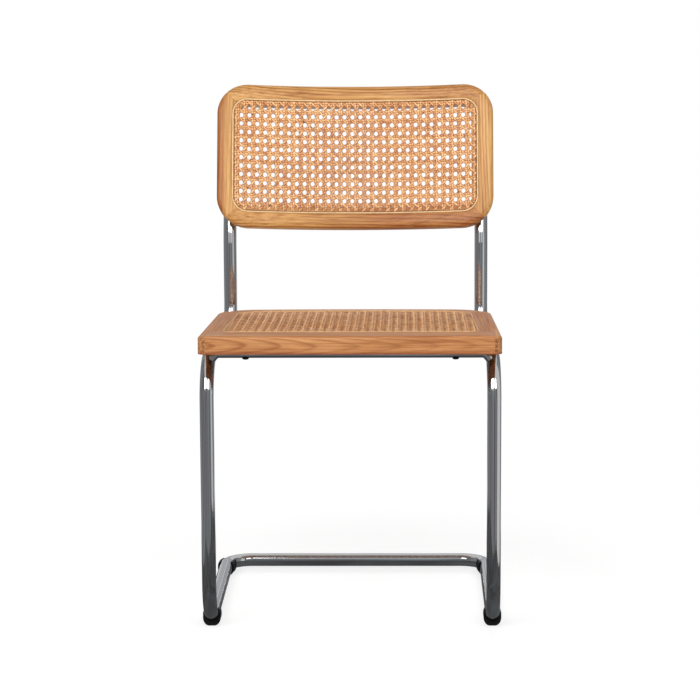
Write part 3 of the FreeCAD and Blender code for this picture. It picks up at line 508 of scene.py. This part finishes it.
def front_glide_place(side, share, section):
    """Sections square across the runner's end and the leg's bend. Each point turns about the bend's hub up to
    the glide's angle, or up to the upright nose, and its sole follows the floor: its reach from the hub is the
    hub's height over the cosine of the turn. Turn and reach depend on each other, so they are found in rounds."""
    hub = np.array([side * LEG_X, LEG_Y + LEG_BEND, FLOOR_AXIS + LEG_BEND])
    along = share * GLIDE_LENGTH - GLIDE_TAIL
    behind = max(-along, 0.0)
    whole = (GLIDE_LENGTH - GLIDE_TAIL) / LEG_BEND
    part = max(along, 0.0) / (GLIDE_LENGTH - GLIDE_TAIL)
    turn = np.full(len(section), part * whole)
    for _ in range(8):
        floor = hub[2] / np.cos(turn) - LEG_BEND
        reach = LEG_BEND - section[:, 1] + section[:, 2] * (floor - FLOOR_AXIS)
        turn = part * np.minimum(whole, np.arcsin(GLIDE_NOSE / reach))
    return hub + np.stack([section[:, 0], behind - reach * np.sin(turn), -reach * np.cos(turn)], -1)


def rear_glide_place(side, share, section):
    """Upright sections along the runner's end, and then turned about the floor corner's hub."""
    hub = np.array([side * (LEG_X - FLOOR_BEND), LEG_Y + RUNNER - FLOOR_BEND, FLOOR_AXIS])
    along = share * GLIDE_LENGTH - GLIDE_TAIL
    turn = max(along, 0.0) / FLOOR_BEND
    out = FLOOR_BEND + section[:, 0]
    back = min(along, 0.0) + out * math.sin(turn)
    return hub + np.stack([side * out * math.cos(turn), back, section[:, 1]], -1)


def glide_pieces():
    """The four clips. The left front and the right rear one have their sections' points in reverse order, so
    that their faces point outwards as the others' do."""
    for side, hand in ((-1, "left"), (1, "right")):
        for word, place in (("front", front_glide_place), ("rear", rear_glide_place)):
            rings = glide_rings(place, side)
            if (side > 0) == (word == "rear"):
                rings = rings[:, ::-1]
            glide = bar_piece("glide_%s_%s" % (word, hand), [rings], BLACK_PLASTIC, 50)
            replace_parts(glide, "%s_glide_%s" % (word, hand))


# Screws: a domed head with a hexagonal socket

HEAD = [
    (SCREW_R, 6.0), (SCREW_R, 0.0), (HEAD_R, 0.0), (HEAD_R, -0.6), (HEAD_R - 0.5, -1.35),
    (HEAD_R - 1.5, -2.0), (HEAD_R - 2.6, -2.32), (2.05, -HEAD_HEIGHT), (1.9, -2.3), (1.9, -0.9), (0.2, -0.8),
]
SOCKET = [False] * 7 + [True] * 3 + [False]


def head_at(point, heading, metal):
    """A head whose underside is as far from the wood's face as the metal under it is thick."""
    return turned_rings(HEAD, point - heading * metal, heading, 36, SOCKET)[::-1]


def screw_pieces():
    """The heads under the seat's sides, under the brace and behind the uprights."""
    up = seat_place(0.0, 0.0, 1.0) - SEAT_ORIGIN
    heads = []
    for side in (-1, 1):
        for along in SEAT_SCREWS:
            level = seat_place(0.0, along, -SEAT_THICK)
            share = (level[1] - LEG_Y) / UPRIGHT_SETBACK
            x = side * (LEG_X * (1 - share) + UPRIGHT_X * share)
            heads.append(head_at(under_seat(x, level[1], SEAT_THICK), up, WOOD_GAP + 2 * TUBE_R))
    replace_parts(bar_piece("seat_screw_heads", heads, BLACK_STEEL, 35), "seat_screws")
    places = [under_seat(x, LEG_Y + BRACE_SETBACK, SEAT_THICK) for x in (-BRACE_SCREW_X, BRACE_SCREW_X)]
    heads = [head_at(point, up, WOOD_GAP + 2 * BRACE_R) for point in places]
    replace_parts(bar_piece("brace_screw_heads", heads, BLACK_STEEL, 35), "brace_screws")
    rear = BACK_R - math.sqrt((BACK_R + BACK_THICK) ** 2 - UPRIGHT_X ** 2)
    heads = []
    for x in (-UPRIGHT_X, UPRIGHT_X):
        for y in (-BACK_SCREW_UP, BACK_SCREW_UP):
            point = back_place(x, y, BACK_THICK)
            heads.append(head_at(point, BACK_FACING, rear - TUBE_DEPTH + TUBE_R))
    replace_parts(bar_piece("back_screw_heads", heads, STEEL, 35), "back_screws")


# Backrest: four members on one rounded ring, each up to its mitres

CORNER_X, CORNER_Y = BACK_HALF - BACK_CORNER, BACK_UP - BACK_CORNER


def arc(centre, radius, start, stop, count):
    """Points of an arc in the plane of a section, angles in degrees."""
    angle = np.radians(np.linspace(start, stop, count))
    return np.stack([centre[0] + radius * np.cos(angle), centre[1] + radius * np.sin(angle)], -1)


def member_section():
    """The section of a member as (inset from the outer edge, depth behind the face): rounded outer edges, the
    reed's groove, the low lip under the cane and the window's wall."""
    front = arc((FRONT_ROUND, FRONT_ROUND), FRONT_ROUND, 180, 270, 12)
    rear = arc((REAR_ROUND, BACK_THICK - REAR_ROUND), REAR_ROUND, 90, 180, 12)
    near, far, wall = BACK_BAND - GROOVE_HALF, BACK_BAND + GROOVE_HALF, WALL_INSET
    inside = np.array([
        (18.0, 0.0), (near - 0.6, 0.0), (near - 0.1, 0.25), (near, 0.8), (near, GROOVE_DEEP),
        (far, GROOVE_DEEP), (far, LIP_DEEP), (wall - 0.6, LIP_DEEP), (wall - 0.1, LIP_DEEP + 0.2),
        (wall, LIP_DEEP + 0.8), (wall, BACK_THICK - 1.4), (wall - 0.4, BACK_THICK - 0.4),
        (wall - 1.2, BACK_THICK), (22.0, BACK_THICK),
    ])
    return np.concatenate([front, inside, rear[:-1]])


ARC_STATIONS, RUN_STATIONS = 13, 24


def ring_stations(corner_a, corner_b, start, stop):
    """Centres and headings round the ring from one mitre to the next: half an arc, a straight and half an arc."""
    turn = np.linspace(0, 45, ARC_STATIONS)
    middle = np.linspace(0, 1, RUN_STATIONS + 2)[1:-1, None]
    straight = corner_a * (1 - middle) + corner_b * middle
    centres = np.concatenate([
        np.tile(corner_a, (ARC_STATIONS, 1)), straight, np.tile(corner_b, (ARC_STATIONS, 1))
    ])
    direction = math.copysign(1, stop - start)
    angles = np.concatenate([
        start + direction * turn, np.full(len(straight), start + direction * 45), stop - direction * turn[::-1]
    ])
    return centres, np.radians(angles)


def back_member(corner_a, corner_b, start, stop):
    """The section set square across the ring at every station. The first and last sections are drawn in a
    little about their middle, which leaves a fine line at the mitre."""
    centres, angles = ring_stations(np.array(corner_a), np.array(corner_b), start, stop)
    section = member_section()
    middle = section.mean(0)
    draw = np.ones(len(angles))
    draw[[0, -1]] = 0.985
    drawn = middle + (section - middle)[None] * draw[:, None, None]
    reach = BACK_CORNER - drawn[..., 0]
    x = centres[:, :1] + reach * np.cos(angles)[:, None]
    y = centres[:, 1:] + reach * np.sin(angles)[:, None]
    return back_place(x, y, drawn[..., 1])


def back_pieces():
    """The four members, each from its own board. The real backrest is redder towards the right of both rails,
    which is where those boards' heartwood is put; the left stile's outer rounding turns darker and redder too,
    partly as its wood's tone and partly as painted shade."""
    low_left, low_right = (-CORNER_X, -CORNER_Y), (CORNER_X, -CORNER_Y)
    top_left, top_right = (-CORNER_X, CORNER_Y), (CORNER_X, CORNER_Y)
    flat = (math.radians(90) - LEAN, 0.0, 0.0)
    members = (
        ("top_rail", top_left, top_right, 135, 45, "top rail ash", flat, (0.26, -0.035), dict(
            ring=0.0050, taper=-0.018, warp=0.009, lines=0.95, heart_and_shade=((1.0, 0.0, 0.0), 0.05, 0.17, 0.45))),
        ("bottom_rail", low_right, low_left, -45, -135, "bottom rail ash", flat, (-0.27, -0.045), dict(
            ring=0.0056, taper=0.024, warp=0.010, lines=0.95, heart_and_shade=((1.0, -0.6, 0.0), -0.04, 0.13, 0.90))),
        # The left stile's outer rounding turns darker and redder: partly its wood's tone, partly painted shade
        ("stile_left", low_left, top_left, 225, 135, "left stile ash", UP_SLOPE, (0.05, 0.05), dict(
            ring=0.0062, taper=0.03, lines=0.75, heart_and_shade=((0.0, 1.0, 0.0), 0.2155, 0.2225, 1.0))),
        ("stile_right", top_right, low_right, 45, -45, "right stile ash", UP_SLOPE, (-0.38, 0.05), dict(
            ring=0.0052, taper=-0.03, lines=0.8, heart_and_shade=((0.0, 1.0, 0.0), -0.215, -0.198, 0.35))),
    )
    for word, corner_a, corner_b, start, stop, board, turned, pith, grain in members:
        wood = lacquered_wood(board, tuple(BACK_CENTRE), turned, pith, **grain)
        rings = back_member(corner_a, corner_b, start, stop)
        piece = bar_piece("back_" + word + "_wood", [rings], wood, 35)
        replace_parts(piece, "back_" + word)


# Seat: its jointed rails are smooth copies of the solids, which have the fingers cut into them

def smooth_copy(node, name, material):
    """The node's triangles welded into one skin, flat faces kept flat by weighting normals with area."""
    mesh = NODES[node].data.copy()
    piece = in_scene(name, mesh)
    skin = bmesh.new()
    skin.from_mesh(mesh)
    bmesh.ops.remove_doubles(skin, verts=skin.verts, dist=1e-6)
    skin.to_mesh(mesh)
    skin.free()
    mesh.shade_smooth()
    mesh.set_sharp_from_angle(angle=math.radians(30))
    weighted = piece.modifiers.new("flat faces", "WEIGHTED_NORMAL")
    weighted.keep_sharp = True
    mesh.materials.clear()
    mesh.materials.append(material)
    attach(piece, "root")
    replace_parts(piece, node)


def seat_pieces():
    """The four rails. The seat's wood is redder than the backrest's."""
    level = (-PITCH, 0.0, 0.0)
    origin = tuple(SEAT_ORIGIN)
    reddish = (0.76, 0.635, 0.69)
    # On the front rail the last argument is painted shade: its lowest few millimetres turn darker and redder
    # under the rounded bottom edge
    front = lacquered_wood("front rail ash", origin, level, (-0.014, -0.015), 0.0038, 0.070, reddish,
                           warp=0.005, lines=0.6, heart_and_shade=((0.0, 0.0, -1.0), 0.0205, 0.0265, 1.0))
    rear = lacquered_wood("rear rail ash", origin, level, (0.30, -0.20), 0.0050, 0.02, reddish)
    along = (0.0, PITCH, math.radians(90))
    left = lacquered_wood("left side rail ash", origin, along, (0.10, -0.09), 0.0046, 0.02, reddish)
    right = lacquered_wood("right side rail ash", origin, along, (-0.32, -0.10), 0.0050, -0.02, reddish)
    smooth_copy("seat_front_rail", "front_rail_wood", front)
    smooth_copy("seat_rear_rail", "rear_rail_wood", rear)
    smooth_copy("seat_side_rail_left", "left_rail_wood", left)
    smooth_copy("seat_side_rail_right", "right_rail_wood", right)


# Cane and reed

def joined(arcs):
    """A closed line of four corner arcs and the straights between them."""
    share = np.linspace(0, 1, 40)[1:-1, None]
    line = []
    for index, part in enumerate(arcs):
        after = arcs[(index + 1) % 4][0]
        line += [part, part[-1] * (1 - share) + after * share]
    return np.concatenate(line)


def back_ring(inset):
    """A rounded rectangle round the backrest at an inset, as x and y."""
    corners = ((CORNER_X, CORNER_Y, 0), (-CORNER_X, CORNER_Y, 90), (-CORNER_X, -CORNER_Y, 180),
               (CORNER_X, -CORNER_Y, 270))
    return joined([arc((x, y), BACK_CORNER - inset, start, start + 90, 16) for x, y, start in corners])


def seat_half(along):
    """Half the seat's width at a distance behind its front edge; it narrows evenly to the rear."""
    return SEAT_FRONT_HALF + (SEAT_REAR_HALF - SEAT_FRONT_HALF) * along / (SEAT_DEPTH - SEAT_BOW)


def corner_arc(before, corner, after, radius, count):
    """An arc tangent to both sides of a corner."""
    into, out = unit(corner - before), unit(after - corner)
    turn = math.acos(np.clip(into @ out, -1, 1))
    inward = unit(out - into)
    centre = corner + inward * radius / math.cos(turn / 2)
    start = corner - into * radius * math.tan(turn / 2) - centre
    side = math.copysign(1, into[0] * out[1] - into[1] * out[0])
    angle = math.atan2(start[1], start[0]) + side * np.linspace(0, turn, count)
    return centre + radius * np.stack([np.cos(angle), np.sin(angle)], -1)


def seat_ring(inset):
    """The reed's line round the seat, with its bowed rear side, at an inset towards the window."""
    front = FRONT_BAND + inset
    rear = SEAT_DEPTH - SEAT_BOW - REAR_BAND - inset
    near = seat_half(front) - SIDE_BAND - inset
    far = seat_half(rear) - SIDE_BAND - inset
    corners = np.array([(-near, front), (near, front), (far, rear), (-far, rear)])
    radii = (SEAT_NEAR_R - inset, SEAT_NEAR_R - inset, SEAT_FAR_R - inset, SEAT_FAR_R - inset)
    arcs = [
        corner_arc(corners[index - 1], corners[index], corners[(index + 1) % 4], radii[index], 14)
        for index in range(4)
    ]
    ring = joined(arcs)
    bow = SEAT_BOW * (1 - (ring[:, 0] / far) ** 2) * (ring[:, 1] > rear - 0.5)
    ring[:, 1] += np.clip(bow, 0, None)
    return ring


def reed_section():
    """A half-round crown over straight sides, as (across, height)."""
    half, shoulder, foot = REED_WIDTH / 2, -0.75, -4.0
    crown = arc((0.0, 0.0), 1.0, 0, 180, 11) * [half, REED_CROWN - shoulder] + [0.0, shoulder]
    return np.concatenate([crown, [(-half, foot), (half, foot)]])


def reed_piece(name, ring, place, node, finish):
    """The reed's section set square across its closed line in the plane of the frame."""
    heading = unit(np.roll(ring, -1, 0) - np.roll(ring, 1, 0))
    outward = np.stack([heading[:, 1], -heading[:, 0]], -1)
    section = reed_section()
    plan = ring[:, None] + outward[:, None] * section[None, :, :1]
    rows = place(plan[..., 0], plan[..., 1], section[None, :, 1])
    count = rows.shape[0] * rows.shape[1]
    faces = np.array(grid_faces(rows.shape[0] + 1, rows.shape[1])) % count
    piece = mesh_piece(name, rows.reshape(-1, 3), faces.tolist(), finish, 60)
    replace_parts(piece, node)


# A strand's section, crowned above and blunt below, in shares of its width and height; the rest in millimetres

STRAND = np.array([(-0.5, -0.05), (-0.3, 0.32), (0.0, 0.42), (0.3, 0.32), (0.5, -0.05), (0.0, -0.40)])
WEAVE_HEIGHT, WEAVE_LEVEL = 0.75, -0.85
STRAND_STEP, STRAND_SWAY, SWAY_LENGTH = 1.72, 0.25, 31.0
PAIR_WIDTH, DIAGONAL_WIDTH, PAIR_HALF = 3.35, 2.8, 1.75
PAIR_RISE, DIAGONAL_RISE = 0.36, 0.65


def strand_bars(lines, inside, place, width, rise, random):
    """Flat strands along straight lines of the weave. Each line is a point, a direction in the plane and the sign
    of its over and under. It is kept where it is inside the window, it sways a little from side to side, and its
    height follows a rise function."""
    bars, tints, edges, lifts = [], [], [], []
    for start, direction, sign in lines:
        far = np.linspace(-700, 700, 2801)
        spots = start + far[:, None] * direction
        kept = far[inside(spots)]
        if len(kept) < 8:
            continue
        steps = np.linspace(kept[0], kept[-1], max(4, int((kept[-1] - kept[0]) / STRAND_STEP)))
        spots = start + steps[:, None] * direction
        sway = STRAND_SWAY * np.sin(steps / SWAY_LENGTH + random.uniform(0, 6.28)) * random.uniform(0.3, 1.0)
        across = np.array([-direction[1], direction[0]])
        spots = spots + sway[:, None] * across
        breadth = width * random.uniform(0.9, 1.06)
        plan = spots[:, None] + across * (STRAND[None, :, :1] * breadth)
        level = rise(spots, sign)
        height = WEAVE_LEVEL + level[:, None] + STRAND[None, :, 1] * WEAVE_HEIGHT
        bars.append(place(plan[..., 0], plan[..., 1], height))
        tints.append(np.full(len(steps) * len(STRAND), random.uniform(0.05, 1.0)))
        edges.append(np.tile(2 * np.abs(STRAND[:, 0]), len(steps)))
        lifts.append(np.repeat(0.5 + level / (2 * np.abs(level).max()), len(STRAND)))
    return bars, tints, edges, lifts


def cane_piece(name, bars, tints, edges, lifts):
    """A set of strands with three values at each point: the strand's tint, how near the point is to its edge, and
    from 0 to 1 whether the strand lies under or over there. The last two drive the cane's painted shade and
    painted highlight."""
    piece = bar_piece(name, bars, CANE, 75)
    for word, values in (("tint", tints), ("edge", edges), ("lift", lifts)):
        layer = piece.data.attributes.new(word, "FLOAT", "POINT")
        layer.data.foreach_set("value", np.concatenate(values))
    return piece


def weave(name, node, inside, place, middle, columns, rows, seed):
    """Open six-way cane. Upright and level strands run in pairs halfway between the holes and pass over and under
    each other like cloth. Two sets of diagonals cross halfway between neighbouring holes: the rising ones pass
    over the uprights and under the levels, the falling ones the other way round."""
    random = np.random.RandomState(seed)
    px, py = CANE_PITCH_X, CANE_PITCH_Y
    centre = np.array(middle)
    upright = [
        (centre + [(index + 0.5) * px + sign * PAIR_HALF, 0.0], np.array([0.0, 1.0]), sign)
        for index in range(-columns, columns) for sign in (-1, 1)
    ]
    level = [
        (centre + [0.0, (index + 0.5) * py + sign * PAIR_HALF], np.array([1.0, 0.0]), -sign)
        for index in range(-rows, rows) for sign in (-1, 1)
    ]
    slope = unit(np.array([px, py]))
    rising = [
        (centre + [(index + 0.5) * px, 0.0], slope, -1)
        for index in range(-columns - rows, columns + rows)
    ]
    falling = [(start, slope * [1, -1], 1) for start, _, _ in rising]

    def over_under(along, pitch, sign):
        """Up over one strand of a crossing pair and down under the other: t times e to the power of (1 - t
        squared) / 2, which peaks at t = 1 and -1, where the pair's two strands lie."""
        t = (np.mod(along, pitch) - pitch / 2) / PAIR_HALF
        return sign * PAIR_RISE * t * np.exp((1 - t * t) / 2)

    def upright_rise(spots, sign):
        """An upright strand goes over and under along Y, and a level one along X."""
        return over_under(spots[:, 1] - centre[1], py, sign)

    def level_rise(spots, sign):
        return over_under(spots[:, 0] - centre[0], px, sign)

    def diagonal_rise(spots, sign):
        """A cosine with one wave to each hole."""
        return sign * DIAGONAL_RISE * np.cos(2 * math.pi * (spots[:, 0] - centre[0]) / px)

    sets = (
        ("uprights", upright, PAIR_WIDTH, upright_rise),
        ("levels", level, PAIR_WIDTH, level_rise),
        ("rising", rising, DIAGONAL_WIDTH, diagonal_rise),
        ("falling", falling, DIAGONAL_WIDTH, diagonal_rise),
    )
    made = []
    for word, lines, width, rise in sets:
        strands = strand_bars(lines, inside, place, width, rise, random)
        made.append(cane_piece("%s_%s" % (name, word), *strands))
    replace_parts(made[0], node)


def in_back_window(spots):
    """Inside the rounded rectangle of the reed's line."""
    radius = BACK_CORNER - BACK_BAND - CANE_START
    x = np.clip(np.abs(spots[:, 0]) - CORNER_X, 0, None)
    y = np.clip(np.abs(spots[:, 1]) - CORNER_Y, 0, None)
    return np.hypot(x, y) < radius


def in_seat_window(spots):
    """Inside the reed's line: between its straight sides, its bowed rear and its corner arcs."""
    front, rear = FRONT_BAND + CANE_START, SEAT_DEPTH - SEAT_BOW - REAR_BAND - CANE_START
    x, y = np.abs(spots[:, 0]), spots[:, 1]
    half = seat_half(y) - SIDE_BAND - CANE_START
    far = seat_half(rear) - SIDE_BAND
    bowed = rear + np.clip(SEAT_BOW * (1 - (x / far) ** 2), 0, None)
    keep = (y > front) & (y < bowed) & (x < half)
    for level, radius, sign in ((front, SEAT_NEAR_R, 1), (rear, SEAT_FAR_R, -1)):
        side = seat_half(level) - SIDE_BAND - radius
        cut = (x > side) & ((y - level - sign * radius) * sign < 0)
        keep &= ~(cut & (np.hypot(x - side, y - level - sign * radius) > radius + 0.5))
    return keep


def above_back(x, y, height):
    """Backrest axes to the room, for a height above the face in place of a depth behind it."""
    return back_place(x, y, -height)


def cane_pieces():
    """Reed and weave of both windows. Each weave is centred on one of its holes."""
    reed_piece("back_reed", back_ring(BACK_BAND - REED_OUT), above_back, "back_spline", REED)
    reed_piece("seat_reed", seat_ring(-REED_OUT), seat_place, "seat_spline", SEAT_REED)
    weave("back_weave", "back_cane", in_back_window, above_back, (-5.0, -3.9), columns=18, rows=9, seed=5)
    weave("seat_weave", "seat_cane", in_seat_window, seat_place, (0.0, 232.0), columns=18, rows=15, seed=11)


def hidden_nodes():
    """Inner pieces stay as they are and get their finish."""
    for node, material in (("rear_bar_sleeve", STEEL), ("back_mitre_dowels", RAW_BEECH)):
        mesh = NODES[node].data
        mesh.materials.clear()
        mesh.materials.append(material)


# Room: white floor, soft light and grey cards that only reflections see

SHADOW_FLOOR, NEAR_WHITE, ROOM_LEVEL = 0.60, 1.22, 0.24
NEAR, FAR = 0.45, 0.95


def stage_plane(name, corners, material):
    """One flat sheet of the room, from its four corners in metres."""
    mesh = bpy.data.meshes.new(name)
    mesh.from_pydata(corners, [], [(0, 1, 2, 3)])
    mesh.materials.append(material)
    plane = in_scene(name, mesh)
    return plane


def seen_directly(tree):
    """1 for a ray from the camera, a mirror or glass, and 0 for light that falls on things."""
    path = add_node(tree, "ShaderNodeLightPath").outputs
    seen = maths(tree, "MAXIMUM", path["Is Camera Ray"], path["Is Glossy Ray"])
    return maths(tree, "MAXIMUM", seen, path["Is Transmission Ray"])


def white_floor():
    """White paper. Seen directly it is white of its own, mixed round the chair with lit paper, which shows the
    chair's soft shadow; from the near to the far distance the lit part fades out. SHADOW_FLOOR is the share of
    its own white near the chair, NEAR_WHITE how strong that white is there."""
    material, tree = new_material("white floor")
    tree.nodes.clear()
    away = vector_maths(tree, "LENGTH", object_place(tree))
    own = ramp(tree, away, [(NEAR, SHADOW_FLOOR), (FAR, 1.0)])
    paper = add_node(tree, "ShaderNodeBsdfDiffuse", {"Color": (0.88, 0.88, 0.88)}).outputs[0]
    level = ramp(tree, away, [(NEAR, 1.0), (FAR, 1.0 / NEAR_WHITE)])
    level = maths(tree, "MULTIPLY", level, NEAR_WHITE)
    bright = add_node(tree, "ShaderNodeEmission", {"Color": (1, 1, 1), "Strength": level}).outputs[0]
    seen = maths(tree, "MULTIPLY", seen_directly(tree), own)
    mixed = add_node(tree, "ShaderNodeMixShader", {0: seen, 1: paper, 2: bright}).outputs[0]
    out = add_node(tree, "ShaderNodeOutputMaterial")
    tree.links.new(mixed, out.inputs[0])
    stage_plane("floor", [(-40, -40, 0), (40, -40, 0), (40, 40, 0), (-40, 40, 0)], material)


def upright_card(start, stop, foot, top):
    """Corners of an upright card over the line between two points of the floor plan."""
    return [(*start, foot), (*stop, foot), (*stop, top), (*start, top)]


def grey_card(name, corners, level):
    """A glowing card that only reflections see, a painted reflection: cloudy grey between a darker warm and a
    lighter cool tone.
    """
    material, tree = new_material(name)
    tree.nodes.clear()
    cloud = noise(tree, scaled(tree, object_place(tree), (5.0, 5.0, 0.9)), 1.0, 3.0, 0.6)
    low = (level * 0.66, level * 0.62, level * 0.64)
    high = (level * 1.32, level * 1.42, level * 1.48)
    tone = ramp(tree, cloud, [(0.36, low), (0.64, high)])
    glow = add_node(tree, "ShaderNodeEmission", {"Color": tone, "Strength": 1.0})
    out = add_node(tree, "ShaderNodeOutputMaterial")
    tree.links.new(glow.outputs[0], out.inputs[0])
    card = stage_plane(name, corners, material)
    card.visible_camera = False
    card.visible_diffuse = False
    card.visible_shadow = False
    card.visible_transmission = False


def turn_to(holder, axes, where):
    """An object's three axes turned to three directions, and the object moved to its place."""
    turned = Matrix(np.transpose(axes).tolist()).to_4x4()
    turned.translation = where
    holder.matrix_world = turned


def soft_lamp(name, where, towards, size, power):
    """A rectangular lamp turned so that its back points straight away from what it lights."""
    lamp = bpy.data.lights.new(name, "AREA")
    lamp.shape = "RECTANGLE"
    lamp.size, lamp.size_y = size
    lamp.energy = power
    holder = in_scene(name, lamp)
    back = unit(np.subtract(where, towards))
    side = unit(np.cross([0, 0, 1.0], back))
    turn_to(holder, (side, np.cross(back, side), back), where)
    return holder


def room():
    """The world is white where it is seen and dimmer as light; then the floor, the cards and three lamps."""
    world = bpy.data.worlds.new("room")
    bpy.context.scene.world = world
    world.use_nodes = True
    tree = world.node_tree
    extra = maths(tree, "MULTIPLY", seen_directly(tree), 1.0 - ROOM_LEVEL)
    strength = maths(tree, "ADD", extra, ROOM_LEVEL)
    fill(tree, tree.nodes["Background"], {"Color": (1, 1, 1), "Strength": strength})
    white_floor()
    # The cards glow grey in reflections only: painted reflections of a darker room on the chrome and wood. The
    # floor card is painted shade under the chair, for what the chrome's undersides mirror.
    floor_card = [(-0.66, -0.75, 0.001), (0.66, -0.75, 0.001), (0.66, 0.40, 0.001), (-0.66, 0.40, 0.001)]
    cards = (
        ("front card", upright_card((-0.72, -0.75), (0.72, -0.75), 0, 0.64), 0.30),
        ("left card", upright_card((-0.66, -0.85), (-0.66, 1.0), 0, 1.0), 0.33),
        ("right card", upright_card((0.66, -0.10), (0.66, 1.0), 0, 1.0), 0.30),
        ("right front card", upright_card((0.66, -0.85), (0.66, -0.60), 0, 1.0), 0.30),
        ("floor card", floor_card, 0.12),
        ("high card", upright_card((-0.30, -2.6), (0.30, -2.6), 0.64, 1.75), 0.25),
        ("back card", upright_card((-2.2, 3.4), (2.2, 3.4), 0, 1.5), 0.60),
    )
    for name, corners, level in cards:
        grey_card(name, corners, level)
    soft_lamp("key", (-1.05, -2.4, 2.15), (0, 0, 0.45), (1.5, 1.3), 54)
    soft_lamp("fill", (1.10, -2.4, 2.05), (0, 0, 0.5), (1.2, 1.2), 30)
    rear = soft_lamp("rear", (0.3, 2.6, 2.4), (0, 0, 0.5), (1.8, 1.0), 34)
    rear.visible_glossy = False


SENSOR, PICTURE = 36.0, 700.0


def camera():
    """The camera that the photograph was taken with, from a fit to the chair's edges: angles in degrees, lengths
    in the picture in pixels, and its place in metres. The sides of the tilted camera are turned by the roll."""
    yaw, pitch, roll = (math.radians(angle) for angle in (-0.775, 9.332, -0.191))
    centre_x, centre_y, focal = 372.678, 372.031, 2620.464
    place = (0.087644, (LEG_Y - 3946.729) * 0.001, 1.058636)
    ahead = np.array([math.sin(yaw) * math.cos(pitch), math.cos(yaw) * math.cos(pitch), -math.sin(pitch)])
    right = np.array([math.cos(yaw), -math.sin(yaw), 0.0])
    up = np.cross(right, ahead)
    rolled_right = math.cos(roll) * right + math.sin(roll) * up
    rolled_up = math.cos(roll) * up - math.sin(roll) * right
    lens = bpy.data.cameras.new("camera")
    lens.sensor_width = SENSOR
    lens.lens = focal * SENSOR / PICTURE
    lens.shift_x = (PICTURE / 2 - centre_x) / PICTURE
    lens.shift_y = (centre_y - PICTURE / 2) / PICTURE
    lens.clip_end = 200.0
    holder = in_scene("camera", lens)
    turn_to(holder, (rolled_right, rolled_up, -ahead), place)
    bpy.context.scene.camera = holder


frame_pieces()
glide_pieces()
screw_pieces()
back_pieces()
seat_pieces()
cane_pieces()
hidden_nodes()
room()
camera()
bpy.context.scene.view_settings.view_transform = "Standard"
